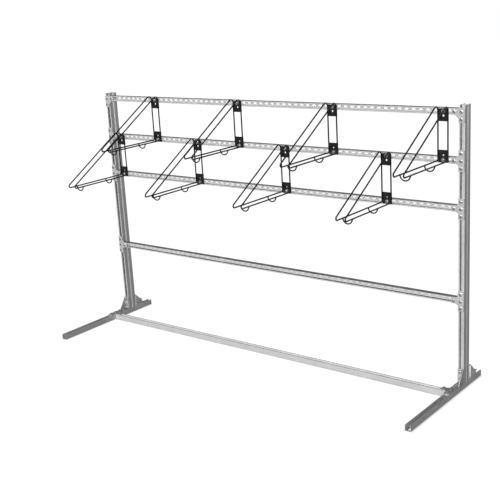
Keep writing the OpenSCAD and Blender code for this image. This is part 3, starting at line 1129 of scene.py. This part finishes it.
@dataclass
class PlateWork:
    """Flat tee and corner plates and the gusseted post brackets."""

    layout: Layout
    thickness: float = 6.35 * MM
    hole_pitch: float = 47.6 * MM
    end_distance: float = 20.6 * MM
    hole: float = 13.5 * MM
    tee_cut: float = 13 * MM
    corner_cut: float = 24 * MM
    outer_radius: float = 3 * MM
    edge: float = 0.7 * MM
    root_radius: float = 0.2 * MM
    bend_radius: float = 4 * MM
    bend_overlap: float = 1 * MM
    bend_edge: float = 0.1 * MM
    bend_steps: int = 6
    post_hole: float = 35 * MM
    front_leaf: float = 73 * MM
    front_hole: float = 50 * MM
    rear_leaf: float = 112 * MM
    rear_hole: float = 41 * MM
    rear_toe: float = 31 * MM
    rear_toe_length: float = 21 * MM
    toe_radius: float = 2 * MM
    top_radius: float = 1 * MM
    window_width: float = 17 * MM
    window_top: float = 6 * MM
    window_radius: float = 0.3 * MM
    bead: float = 4.2 * MM
    ripple: float = 2.4 * MM
    bead_taper: float = 10.0
    bead_start: float = 5 * MM
    bead_end: float = 8 * MM
    bead_top: float = 12 * MM
    window_gap: float = 2 * MM

    def __post_init__(self) -> None:
        """Reads the plates' width from an upright."""
        low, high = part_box("upright_right_front")
        self.half = (high.x - low.x) / 2
        self.reach = self.hole_pitch + self.end_distance
        self.leaf_height = self.post_hole + self.reach
        self.gusset_height = self.leaf_height - self.outer_radius
        self.bead_recipe = bead_recipe()

    def hole_at(self, x: float, y: float) -> Outline:
        """A bolt hole's outline, clockwise."""
        return list(reversed(circle(self.hole / 2, HOLE_SIDES, (x, y))))

    def arms(self, cut: float) -> list[tuple[float, float, float]]:
        """Corners that a tee and a corner plate share, round the arms to -y and +x.

        Args:
            cut: How far the inner corner is cut off.

        Returns:
            The corners, each (x, y, radius).
        """
        h, reach, r = self.half, self.reach, self.outer_radius
        down = [(-h, -reach, r), (h, -reach, r), (h, -h - cut, 0)]
        return [*down, (h + cut, -h, 0), (reach, -h, r), (reach, h, r)]

    def tee(self) -> list[Outline]:
        """Outline and holes of a tee plate whose arm points to +x.

        Returns:
            The outline, then the holes.
        """
        h, reach, cut, r, p = self.half, self.reach, self.tee_cut, self.outer_radius, self.hole_pitch
        corners = [*self.arms(cut), (h + cut, h, 0), (h, h + cut, 0), (h, reach, r), (-h, reach, r)]
        return [rounded(corners), *(self.hole_at(x, y) for x, y in ((0, 0), (0, p), (0, -p), (p, 0)))]

    def corner(self) -> list[Outline]:
        """Outline and holes of a corner plate whose arms point to -y and +x.

        Returns:
            The outline, then the holes.
        """
        corners = [*self.arms(self.corner_cut), (-self.half, self.half, self.outer_radius)]
        p = self.hole_pitch
        return [rounded(corners), *(self.hole_at(x, y) for x, y in ((0, 0), (0, -p), (p, 0)))]

    def flat_plate(self, node: str, loops: Sequence[Outline], side: Side, place: Matrix,
                   finish: Finish) -> None:
        """Builds one flat plate in its node's place, with its arm towards the middle of the rack.

        Args:
            node: The node that it replaces.
            loops: Its outline and holes, with the arm towards +x.
            side: The end of the rack that it is on.
            place: Where the plate goes.
            finish: Its finish.
        """
        if side is Side.RIGHT:
            loops = [[Vector((-p.x, p.y)) for p in reversed(loop)] for loop in loops]
        shell = Shell()
        shell.slab(loops, self.thickness, self.edge, place)
        show(f"{node}_steel", shell.mesh(f"{node}_steel", finish.material), "zinc_plate", node)

    def leaves(self, shell: Shell, leaf: float, holes: Sequence[float]) -> None:
        """Adds a bracket's upright leaf, foot leaf and the bend between them.

        The bracket's own frame has the upright's face at y = 0, the foot's top at z = 0 and the foot
        leaf towards +y.

        Args:
            shell: Gets the faces.
            leaf: Length of the foot leaf.
            holes: Places of its holes.
        """
        h, r, t, bend_radius = self.half, self.outer_radius, self.thickness, self.bend_radius
        upright = [rectangle((-h, 0), (h, self.leaf_height), self.root_radius, r)]
        upright += [self.hole_at(0, self.post_hole + k * self.hole_pitch) for k in (0, 1)]
        shell.slab(upright, t, self.edge, Matrix.Translation((0, t, 0)) @ STANDING)
        foot = [rectangle((-h, 0), (h, leaf), self.root_radius, r)]
        foot += [self.hole_at(0, y) for y in holes]
        shell.slab(foot, t, self.edge, Matrix.Identity(4))
        root, far = t - self.bend_overlap, t + bend_radius
        fillet = arc((far, far), bend_radius, -90, -180, self.bend_steps)
        inside = [Vector((root, root)), Vector((far, root)), *fillet, Vector((root, far))]
        place = Matrix.Translation((-h + self.edge, 0, 0)) @ SIDEWAYS
        shell.slab([inside], 2 * h - 2 * self.edge, self.bend_edge, place, 1)

    def front_gusset(self) -> list[Outline]:
        """Outline of the front bracket's gusset in (y, z)."""
        t, toe, top = self.thickness, self.front_leaf - self.outer_radius, self.gusset_height
        return [rounded([(0, 0, 0), (toe, 0, 0), (toe, t, 0), (t, top, self.top_radius), (0, top, 0)])]

    def rear_gusset(self) -> list[Outline]:
        """Outline of the rear bracket's gusset in (y, z), with its window.

        Returns:
            The outline and the window.
        """
        t, r, top, leaf = self.thickness, self.outer_radius, self.gusset_height, self.rear_leaf
        end, toe = t + self.window_width, self.toe_radius
        outline = rounded([(0, 0, 0), (leaf - r, 0, 0), (leaf - r, t + self.rear_toe - r, toe),
                           (leaf - self.rear_toe_length, t + self.rear_toe, toe), (end, top, self.top_radius),
                           (0, top, 0)])
        window = rectangle((t, t), (end, top - self.window_top), self.window_radius)
        return [outline, list(reversed(window))]

    def welds(self, leaf: float, rear: bool) -> list[Outline]:
        """Paths of the beads between a bracket's gusset and its leaves.

        Args:
            leaf: Length of the foot leaf.
            rear: Whether it is the rear bracket, whose window leaves no room for the upper bead.

        Returns:
            The paths.
        """
        t, inner = self.thickness, self.half - self.thickness
        start = t + self.window_width + self.window_gap if rear else t + self.bead_start
        along = [Vector((inner, y, t)) for y in (start, leaf - self.outer_radius - self.bead_end)]
        up = [Vector((inner, t, z)) for z in (t + self.bead_start, self.leaf_height - self.bead_top)]
        return [along] if rear else [along, up]

    def bracket(self, side: Side, rear: bool) -> None:
        """Builds one post bracket with its gusset on the outer side and its weld beads.

        Args:
            side: The end of the rack that it is on.
            rear: Whether it stands behind the upright.
        """
        t, leaf = self.thickness, self.rear_leaf if rear else self.front_leaf
        holes = [self.rear_hole, self.rear_hole + self.hole_pitch] if rear else [self.front_hole]
        node = f"post_bracket_{side.word}_{'rear' if rear else 'front'}"
        steel = (Finish.REAR_BRACKET if rear else Finish.BRACKET).material
        shell = Shell()
        self.leaves(shell, leaf, holes)
        gusset = self.rear_gusset() if rear else self.front_gusset()
        shell.slab(gusset, t, self.edge, Matrix.Translation((self.half - t, 0, 0)) @ SIDEWAYS)
        weld = self.bead_recipe.run(path_mesh("beads", self.welds(leaf, rear)), Finish=steel, Width=self.bead,
                                    Ripple=self.ripple, Taper=self.bead_taper)
        whole = joined(f"{node}_steel", [shell.mesh(node, steel), weld], steel)
        face = self.layout.back_y if rear else self.layout.face_y
        flip = Matrix.Diagonal((side.value, 1 if rear else -1, 1, 1))
        foot = (side.value * self.layout.post_x, face, self.layout.foot_top)
        whole.transform(Matrix.Translation(foot) @ flip)
        show(whole.name, tidy(whole, False), "zinc_plate", node)

    def build(self) -> None:
        """Builds all the plates and brackets."""
        layout = self.layout
        for side in Side:
            x = side.value * layout.post_x
            for k, z in enumerate(layout.rail_z, 1):
                place = Matrix.Translation((x, layout.face_y, z)) @ STANDING
                if k == 1:
                    self.flat_plate(f"corner_plate_{side.word}", self.corner(), side, place, Finish.PLATE)
                else:
                    self.flat_plate(f"tee_plate_{side.word}_{k}", self.tee(), side, place, Finish.PLATE)
            place = Matrix.Translation((x, layout.bar_y, layout.foot_top))
            self.flat_plate(f"floor_plate_{side.word}", self.tee(), side, place, Finish.FLOOR_PLATE)
            for rear in (False, True):
                self.bracket(side, rear)


@dataclass(frozen=True)
class Bolt:
    """A bolt with a chamfered, dished hexagon head, a washer face and a threaded end."""

    diameter: float = 12.7 * MM
    head: float = 19.05 * MM
    head_height: float = 8 * MM
    chamfer: float = math.radians(30)
    crown_share: float = 0.93
    dish_share: float = 0.7
    dish_floor: float = 0.8
    dish_depth: float = 0.25 * MM
    face_share: float = 0.97
    face_height: float = 0.5 * MM
    flats_start: float = 0.9 * MM
    thread: float = 1.95 * MM
    thread_depth: float = 1.05 * MM
    thread_length: float = 15 * MM
    tip_depth: float = 1.2 * MM
    sides: int = 36

    def ring(self, radii: Sequence[float], heights: Sequence[float]) -> Outline:
        """Points round the bolt, each with its own radius and height."""
        places = zip(radii, full_turn(self.sides), heights)
        return [Vector((r * math.cos(a), r * math.sin(a), z)) for r, a, z in places]

    def even(self, profile: Sequence[Span]) -> list[Outline]:
        """Round rings, one for each (radius, height) of a profile."""
        return [self.ring([radius] * self.sides, [height] * self.sides) for radius, height in profile]

    def threads(self, start: float, tip: float) -> list[Span]:
        """Profile of the threaded end.

        Args:
            start: Height where the thread starts.
            tip: Height of the bolt's end.

        Returns:
            Radius and height of each ring, downwards.
        """
        radius = self.diameter / 2
        profile = [(radius, start)]
        for k in range(int(self.thread_length / self.thread) - 1):
            root = start - (k + 0.5) * self.thread
            profile += [(radius - self.thread_depth, root), (radius, root - self.thread / 2)]
        return profile + [(radius - self.tip_depth, tip), (POLE, tip)]

    def shell(self, seat: float, tip: float) -> Shell:
        """The bolt with its head up.

        Args:
            seat: Height of the face under its head.
            tip: Height of its end.

        Returns:
            Its faces.
        """
        flat, sixth = self.head / 2, math.pi / 3
        around = [flat / math.cos((a + sixth / 2) % sixth - sixth / 2) for a in full_turn(self.sides)]
        crown, dish, face = (share * flat for share in (self.crown_share, self.dish_share, self.face_share))
        top = seat + self.head_height
        floor = top - self.dish_depth
        rings = self.even([(POLE, floor), (dish * self.dish_floor, floor), (dish, top), (crown, top)])
        rings.append(self.ring(around, [top - (r - crown) * math.tan(self.chamfer) for r in around]))
        rings.append(self.ring(around, [seat + self.flats_start] * self.sides))
        rings += self.even([(face, seat + self.face_height), (face, seat), (self.diameter / 2, seat)])
        rings += self.even(self.threads(tip + self.thread_length, tip))
        shell = Shell()
        shell.bridge(rings)
        return shell


@dataclass(frozen=True)
class Washer:
    """A stamped washer with rounded edges."""

    diameter: float = 27 * MM
    thickness: float = 2.4 * MM
    edge: float = 0.35 * MM
    sides: int = 32

    def shell(self, low: float, hole: float) -> Shell:
        """The washer, lying flat.

        Args:
            low: Height of its underside.
            hole: Diameter of its hole.

        Returns:
            Its faces.
        """
        high, inner, outer, e = low + self.thickness, hole / 2, self.diameter / 2, self.edge
        profile = [(inner, high - e), (inner + e, high), (outer - 2 * e, high),
                   (outer - e / 3, high - e / 3), (outer, high - 2 * e), (outer, low + e), (outer - e, low),
                   (inner + e, low), (inner, low + e)]
        shell = Shell()
        shell.lathe([*profile, profile[0]], self.sides)
        return shell


@dataclass(frozen=True)
class ChannelNut:
    """A block with two grooves for the channel's lips, a bore and two round corners to turn in on."""

    length: float = 20 * MM
    thickness: float = 9.5 * MM
    play: float = 0.7 * MM
    groove: float = 2 * MM
    groove_play: float = 0.3 * MM
    bore_play: float = 0.1 * MM
    turning_radius: float = 6 * MM
    radius: float = 1 * MM
    rim_radius: float = 0.5 * MM
    rim_step: float = 4 * MM
    edge: float = 0.4 * MM

    def shell(self, strut: StrutFrame, bolt: float) -> Shell:
        """The nut in its own frame, with the channel's open face at z = 0.

        Args:
            strut: The channel that it fits.
            bolt: Diameter of its bolt.

        Returns:
            Its faces.
        """
        half, long = strut.width / 2 - strut.wall - self.play, self.length / 2
        top = self.groove - strut.lip_depth
        floor, e, big, small = top - self.groove, self.edge, self.turning_radius, self.radius
        bore = list(reversed(circle(bolt / 2 + self.bore_play, HOLE_SIDES)))
        body = rounded([(-half, -long, big), (half, -long, small), (half, long, big), (-half, long, small)])
        shell = Shell()
        shell.slab([body, bore], self.thickness - self.groove, e,
                   Matrix.Translation((0, 0, top - self.thickness)), 2)
        inner = strut.opening / 2 - self.groove_play
        outer = strut.opening / 2 + strut.wall + self.groove_play
        short = long - self.rim_step
        ribs = [[rectangle((-inner, -long), (inner, long), self.rim_radius), bore],
                [rectangle((-half, -short), (-outer, short), self.rim_radius)],
                [rectangle((outer, -short), (half, short), self.rim_radius)]]
        for rib in ribs:
            shell.slab(rib, self.groove + e, e, Matrix.Translation((0, 0, floor - e)), 2)
        return shell


@dataclass(frozen=True)
class Spot:
    """One bolted place: the face, a point on it, and whether the channel under it runs across."""

    face: Face
    point: Place
    across: bool

    def angles(self, spin: float) -> tuple[float, ...]:
        """Euler angles of a fastener here that is turned about its own axis by spin, past its channel."""
        turned = spin + (math.pi / 2 if self.across else 0)
        return tuple((self.face.turn @ Matrix.Rotation(turned, 4, "Z")).to_euler())


@dataclass
class Hooks:
    """The wire hooks: two bent loops, two saddles and two bolt-on plates each."""

    layout: Layout
    plates: PlateWork
    rod: float = 10 * MM
    rod_sides: int = 20
    saddle_rod: float = 9 * MM
    saddle_sides: int = 18
    loop_gap: float = 58 * MM
    tip_reach: float = 560 * MM
    tip_rise: float = 8.3 * MM
    tip_radius: float = 13 * MM
    peak_radius: float = 26 * MM
    peak_rise: float = 2.8 * MM
    saddle_places: Span = (187 * MM, 493 * MM)
    plate: float = 5 * MM
    plate_edge: float = 0.6 * MM
    plate_height: float = 79 * MM
    bolt_edge: float = 16 * MM
    spare_pitch: float = 28 * MM
    plate_lap: float = 1 * MM
    bead: float = 3.6 * MM
    seam_bead: float = 2.88 * MM
    ring_bead: float = 2.7 * MM
    ripple: float = 2.0 * MM
    open_taper: float = 8.0
    ring_taper: float = 99.0
    ring_sides: int = 20
    seam_depth: float = 0.8 * MM
    seam_inset: float = 0.2 * MM
    stitch: float = 20 * MM
    stitch_end: float = 5 * MM
    stitch_inset: float = 0.6 * MM
    stitch_proud: float = 1 * MM
    bend_step: float = 6.0

    def __post_init__(self) -> None:
        """Works out the loops' place and makes the trees that all hooks share."""
        self.rod_x = (self.loop_gap + self.rod) / 2
        self.back = self.plate + self.rod / 2
        self.step = self.layout.rail_z[0] - self.layout.rail_z[1]
        self.arm = self.tip_rise - self.tip_radius
        self.rods = rod_recipe()
        self.beads = bead_recipe()

    def curve(self, centre: Sequence[float], radius: float, start: float, end: float) -> Outline:
        """An arc with a point about every bend_step degrees."""
        return arc(centre, radius, start, end, math.ceil(abs(end - start) / self.bend_step))

    def loop_path(self) -> Outline:
        """The closed centre line of a loop.

        Returns:
            Its points, each (distance from the rail's face, height above the lower rail).
        """
        heel = (self.back + self.tip_radius, self.tip_rise)
        peak = Vector((self.back + self.peak_radius, self.step + self.peak_rise))
        tip = Vector((self.tip_reach, self.tip_rise))
        down = tip - peak
        slope = math.atan2(down.y, down.x)
        lean = math.degrees(slope + math.acos((self.peak_radius - self.tip_radius) / down.length))
        return (self.curve(heel, self.tip_radius, -90, -180) + self.curve(peak, self.peak_radius, 180, lean)
                + self.curve(tip, self.tip_radius, lean, -90))

    def at(self, number: int, side: float, reach: float, height: float) -> Vector:
        """A point of a hook, from its middle, the rail's face and the lower rail's height."""
        low = self.layout.rail_z[1 if number % 2 == 0 else 2]
        return Vector((self.layout.hook_x[number - 1] + side, self.layout.face_y - reach, low + height))

    def rings(self, number: int, places: Sequence[Span], radius: float, normal: Vector) -> list[Outline]:
        """Small circles round the rods, for the welds.

        Args:
            number: The hook.
            places: Distance from the rail's face and height of each circle, made round both rods.
            radius: Their radius.
            normal: Direction that they are square to.

        Returns:
            The circles.
        """
        first = normal.orthogonal().normalized()
        second = normal.cross(first).normalized()
        turns = full_turn(self.ring_sides)
        round_it = [(first * math.cos(a) + second * math.sin(a)) * radius for a in turns]
        centres = [self.at(number, x, *place) for x in (-self.rod_x, self.rod_x) for place in places]
        return [[centre + p for p in round_it] for centre in centres]

    def wires(self, node: str, rods: bpy.types.Mesh, rings: Sequence[Outline], width: float,
              finish: Finish) -> None:
        """Shows bent rods and their ring welds as one piece.

        Args:
            node: The node that they replace.
            rods: The rods.
            rings: Paths of the welds.
            width: Width of a weld.
            finish: Their finish.
        """
        steel = finish.material
        weld = self.beads.run(path_mesh("rings", rings, True), Finish=steel, Width=width, Ripple=self.ripple,
                              Taper=self.ring_taper)
        show(f"{node}_rods", joined(f"{node}_rods", [rods, weld], steel), "black_wire", node)

    def loops(self, number: int) -> None:
        """Builds a hook's two loops, each with the weld where its ends meet.

        Args:
            number: The hook.
        """
        path = self.loop_path()
        paths = [[self.at(number, x, *p) for p in path] for x in (-self.rod_x, self.rod_x)]
        rods = self.rods.run(path_mesh("loops", paths, True), Finish=Finish.WIRE.material, Diameter=self.rod,
                             Sides=self.rod_sides)
        seam = (self.tip_reach - self.seam_inset, self.arm)
        rings = self.rings(number, [seam], self.rod / 2 - self.seam_depth, Y_AXIS)
        self.wires(f"hook_{number}_loops", rods, rings, self.seam_bead, Finish.WIRE)

    def saddles(self, number: int) -> None:
        """Builds a hook's two half-round saddles, welded under the lower arms.

        Args:
            number: The hook.
        """
        half_ring = self.curve((0, 0), self.rod_x, -180, 0)
        reaches, under = self.saddle_places, self.arm - self.rod / 2 - self.seam_inset
        paths = [[self.at(number, p.x, reach, self.arm + p.y) for p in half_ring] for reach in reaches]
        rods = self.rods.run(path_mesh("saddles", paths), Finish=Finish.SADDLE.material,
                             Diameter=self.saddle_rod, Sides=self.saddle_sides)
        rings = self.rings(number, [(reach, under) for reach in reaches], self.saddle_rod / 2, Z_AXIS)
        self.wires(f"hook_{number}_saddles", rods, rings, self.ring_bead, Finish.SADDLE)

    def stitches(self, number: int, height: float, low: float, top: float) -> list[Outline]:
        """Paths of the weld stitches between one plate and the two rods on it.

        Args:
            number: The hook.
            height: Height of the plate's bolt above the lower rail.
            low: Lowest point of the straight rods on the plate, from its bolt.
            top: Their highest point.

        Returns:
            The paths.
        """
        inward, proud = self.rod_x - self.rod / 2 + self.stitch_inset, self.plate + self.stitch_proud
        start, end = low + self.stitch_end, top - self.stitch_end
        spans = ((start, start + self.stitch), (end - self.stitch, end))
        return [[self.at(number, x, proud, height + z) for z in span]
                for x in (-inward, inward) for span in spans]

    def plate_pair(self, number: int) -> None:
        """Builds a hook's upper and lower plate with the weld stitches that hold the loops.

        Args:
            number: The hook.
        """
        half, steel = self.rod_x + self.plate_lap, Finish.BLACK_PLATE.material
        node = f"hook_{number}_plates"
        shell, stitches = Shell(), []
        bend_start = self.tip_rise + self.peak_rise
        for height, sign in ((self.step, 1), (0.0, -1)):
            low, high = sorted((sign * self.bolt_edge, sign * (self.bolt_edge - self.plate_height)))
            outline = rectangle((-half, low), (half, high), self.plates.outer_radius)
            holes = [self.plates.hole_at(0, 0), self.plates.hole_at(0, -sign * self.spare_pitch)]
            place = Matrix.Translation(self.at(number, 0, 0, height)) @ STANDING
            shell.slab([outline, *holes], self.plate, self.plate_edge, place)
            stitches += self.stitches(number, height, low, min(high, bend_start) if height else high)
        weld = self.beads.run(path_mesh("stitches", stitches), Finish=steel, Width=self.bead,
                              Ripple=self.ripple, Taper=self.open_taper)
        mesh = joined(f"{node}_steel", [shell.mesh("plates", steel), weld], steel)
        show(mesh.name, mesh, "black_plate", node)

    def build(self) -> None:
        """Builds all the hooks."""
        for number in range(1, len(self.layout.hook_x) + 1):
            self.loops(number)
            self.saddles(number)
            self.plate_pair(number)


@dataclass
class Fasteners:
    """Hexagon bolts, washers and channel nuts at every bolted place."""

    layout: Layout
    strut: StrutFrame
    plates: PlateWork
    hooks: Hooks
    bolt: Bolt = Bolt()
    washer: Washer = Washer()
    nut: ChannelNut = ChannelNut()
    past: float = 5 * MM
    head_step: float = math.radians(23)

    def __post_init__(self) -> None:
        """Makes the tree that sets fasteners on their places."""
        self.recipe = fastener_recipe()

    def frame_spots(self) -> list[Spot]:
        """Places of the flat plates' bolts on the uprights and rails.

        Returns:
            The places.
        """
        spots, pitch, face = [], self.plates.hole_pitch, self.layout.face_y
        for side in Side:
            x = side.value * self.layout.post_x
            for k, z in enumerate(self.layout.rail_z):
                heights = (z, z - pitch) if k == 0 else (z + pitch, z, z - pitch)
                spots += [Spot(Face.FRONT, (x, face, height), False) for height in heights]
                spots.append(Spot(Face.FRONT, (x - side.value * pitch, face, z), True))
        return spots

    def base_spots(self) -> list[Spot]:
        """Places of the brackets' and floor plates' bolts.

        Returns:
            The places.
        """
        spots, layout, plates = [], self.layout, self.plates
        pitch, top = plates.hole_pitch, layout.foot_top
        for side in Side:
            x = side.value * layout.post_x
            for z in (top + plates.post_hole, top + plates.post_hole + pitch):
                spots.append(Spot(Face.FRONT, (x, layout.face_y, z), False))
                spots.append(Spot(Face.REAR, (x, layout.back_y, z), False))
            rear = layout.back_y + plates.rear_hole
            for y in (layout.face_y - plates.front_hole, rear, rear + pitch,
                      layout.bar_y + pitch, layout.bar_y, layout.bar_y - pitch):
                spots.append(Spot(Face.TOP, (x, y, top), False))
            spots.append(Spot(Face.TOP, (x - side.value * pitch, layout.bar_y, top), True))
        return spots

    def hook_spots(self) -> list[Spot]:
        """Places of the hooks' bolts, two on each hook."""
        rails = self.layout.rail_z
        return [Spot(Face.FRONT, (x, self.layout.face_y, z), True) for k, x in enumerate(self.layout.hook_x)
                for z in (rails[:2] if k % 2 else rails[1:3])]

    def scatter(self, node: str, spots: Sequence[Spot], shell: Shell, finish: Finish, slot: str,
                head_step: float = 0.0) -> None:
        """Sets one fastener on each spot and shows them as one piece.

        Args:
            node: The node that the piece replaces.
            spots: The places.
            shell: One fastener in its own frame.
            finish: Its finish.
            slot: Name of a material slot, passed on to show, which does not use it.
            head_step: How much further each is turned than the last.
        """
        points = bpy.data.meshes.new("spots")
        points.from_pydata([s.point for s in spots], [], [])
        turn = points.attributes.new("turn", "FLOAT_VECTOR", "POINT")
        turn.data.foreach_set("vector", [a for k, s in enumerate(spots) for a in s.angles(head_step * k)])
        pattern = bpy.data.objects.new("pattern", shell.mesh("pattern", finish.material))
        mesh = self.recipe.run(points, Finish=finish.material, Pattern=pattern)
        bpy.data.objects.remove(pattern)
        mesh.name = f"{node}_set"
        show(mesh.name, tidy(mesh, False), slot, node)

    def build(self) -> None:
        """Builds the bolts, washers and nuts of the frame, the base and the hooks."""
        tip = -(self.strut.lip_depth - self.nut.groove + self.nut.thickness + self.past)
        nut = self.nut.shell(self.strut, self.bolt.diameter)
        for group, spots, grip in (("frame", self.frame_spots(), self.plates.thickness),
                                   ("base", self.base_spots(), self.plates.thickness),
                                   ("hook", self.hook_spots(), self.hooks.plate)):
            bolt = self.bolt.shell(grip + self.washer.thickness, tip)
            bolt_finish = Finish.BASE_BOLT if group == "base" else Finish.BOLT
            washer = self.washer.shell(grip, self.plates.hole)
            washer_finish = Finish[f"{group.upper()}_WASHER"]
            self.scatter(f"{group}_bolts", spots, bolt, bolt_finish, "zinc_bolt", self.head_step)
            self.scatter(f"{group}_washers", spots, washer, washer_finish, "zinc_bolt")
            self.scatter(f"{group}_nuts", spots, nut, Finish.NUT, "zinc_nut")


@dataclass
class Studio:
    """White floor and surroundings, soft light from the front, and the photograph's camera."""

    heading: float = 0.675
    tilt: float = 0.273
    roll: float = -0.058
    camera_place: Place = (4.0873, -5.0912, 2.6421)
    lens: float = 67.96
    sensor: float = 36.0
    floor_size: float = 60.0
    floor_bounce: float = 0.28
    shadow_share: float = 0.3
    glow: float = 1.2
    ambient: float = 0.15
    gloss_front: float = 0.3
    gloss_rear: float = 1.0
    gloss_span: Span = (-0.2, 0.4)
    key: float = 0.9
    fill: float = 2.3
    side: float = 1.0
    contact: float = 22 * MM
    softness: float = math.radians(20)
    front: Place = (0.08, -0.87, 0.45)
    left: Place = (-0.95, 0.0, 0.12)
    rear: Place = (0.0, 0.95, 0.12)

    def camera(self) -> None:
        """Adds the camera at the photograph's place, turn and lens."""
        data = bpy.data.cameras.new("camera")
        data.lens, data.sensor_width = self.lens, self.sensor
        data.clip_end = self.floor_size * 2
        eye = bpy.data.objects.new("camera", data)
        turn = (Matrix.Rotation(self.heading, 4, "Z") @ Matrix.Rotation(math.pi / 2 - self.tilt, 4, "X")
                @ Matrix.Rotation(self.roll, 4, "Z"))
        eye.matrix_world = Matrix.Translation(self.camera_place) @ turn
        bpy.context.scene.collection.objects.link(eye)
        bpy.context.scene.camera = eye

    def start(self, holder: bpy.types.World | bpy.types.Material) -> Tree:
        """Gives a world or a material an empty tree.

        Args:
            holder: The world or the material.

        Returns:
            Its tree.
        """
        holder.use_nodes = True
        holder.node_tree.nodes.clear()
        return Tree(holder.node_tree)

    def mixed(self, tree: Tree, ray: str, other: Socket, shown: Socket) -> Socket:
        """Chooses one shader for a kind of ray and another for all the rest."""
        share = tree.add("ShaderNodeLightPath", output=ray)
        return tree.add("ShaderNodeMixShader", {0: share, 1: other, 2: shown})

    def world(self) -> None:
        """White where it is seen, grey to white in reflections and a dim even light for everything else."""
        world = bpy.data.worlds.new("studio")
        bpy.context.scene.world = world
        tree = self.start(world)
        direction = tree.add("ShaderNodeTexCoord", output="Generated")
        behind = tree.add("ShaderNodeSeparateXYZ", {"Vector": direction}, "Y")
        low, high = self.gloss_span
        sheen = tree.add("ShaderNodeMapRange", {"Value": behind, "From Min": low, "From Max": high,
                                                "To Min": self.gloss_front, "To Max": self.gloss_rear})
        seen, gloss, light = (tree.add("ShaderNodeBackground", {"Color": WHITE, "Strength": level})
                              for level in (1.0, sheen, self.ambient))
        mix = self.mixed(tree, "Is Camera Ray", self.mixed(tree, "Is Glossy Ray", light, gloss), seen)
        tree.node("ShaderNodeOutputWorld", {"Surface": mix})

    def floor(self) -> None:
        """A white floor that keeps a soft shadow of the rack."""
        half = self.floor_size / 2
        mesh = bpy.data.meshes.new("floor")
        corners = [(-half, -half, 0), (half, -half, 0), (half, half, 0), (-half, half, 0)]
        mesh.from_pydata(corners, [], [(0, 1, 2, 3)])
        floor = bpy.data.objects.new("floor", mesh)
        bpy.context.scene.collection.objects.link(floor)
        floor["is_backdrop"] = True
        material = bpy.data.materials.new("floor")
        tree = self.start(material)
        near = tree.add("ShaderNodeAmbientOcclusion", {"Distance": self.contact}, "AO")
        level = tree.product(near, self.glow)
        white = tree.add("ShaderNodeEmission", {"Color": WHITE, "Strength": level})
        lit = tree.add("ShaderNodeBsdfDiffuse", {"Color": WHITE})
        shown = tree.add("ShaderNodeMixShader", {0: self.shadow_share, 1: white, 2: lit})
        bounce = tree.add("ShaderNodeBsdfDiffuse", {"Color": ((self.floor_bounce,) * 3 + (1,))})
        mix = self.mixed(tree, "Is Camera Ray", bounce, shown)
        tree.node("ShaderNodeOutputMaterial", {"Surface": mix})
        mesh.materials.append(material)

    def sun(self, name: str, strength: float, direction: Sequence[float], shadow: bool) -> None:
        """Adds one soft light.

        Args:
            name: Its name.
            strength: Its strength.
            direction: Where it shines from.
            shadow: Whether it casts shadows.
        """
        data = bpy.data.lights.new(name, "SUN")
        data.energy, data.angle, data.use_shadow = strength, self.softness, shadow
        lamp = bpy.data.objects.new(name, data)
        lamp.matrix_world = Vector(direction).to_track_quat("Z", "Y").to_matrix().to_4x4()
        bpy.context.scene.collection.objects.link(lamp)

    def build(self) -> None:
        """Sets up the camera, the surroundings and the light."""
        self.camera()
        self.world()
        self.floor()
        self.sun("key", self.key, self.front, True)
        self.sun("fill", self.fill, self.front, False)
        self.sun("left", self.side, self.left, True)
        self.sun("rear", self.side, self.rear, False)
        bpy.context.scene.view_settings.view_transform = "Standard"


def write_size() -> None:
    """Works out the CAD model's box and the visual model's box; nothing is kept."""
    boxes = {"cad": cad_box, "visual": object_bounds()}
    {name: [list(corner) for corner in box] for name, box in boxes.items()}


def main() -> None:
    """Builds the studio and every piece of the rack."""
    logging.basicConfig(level=logging.INFO, format="%(name)s: %(message)s")
    Studio().build()
    layout = Layout.read()
    strut = StrutFrame()
    plates = PlateWork(layout)
    hooks = Hooks(layout, plates)
    strut.build()
    plates.build()
    Fasteners(layout, strut, plates, hooks).build()
    hooks.build()
    write_size()


if __name__ == "__main__":
    main()
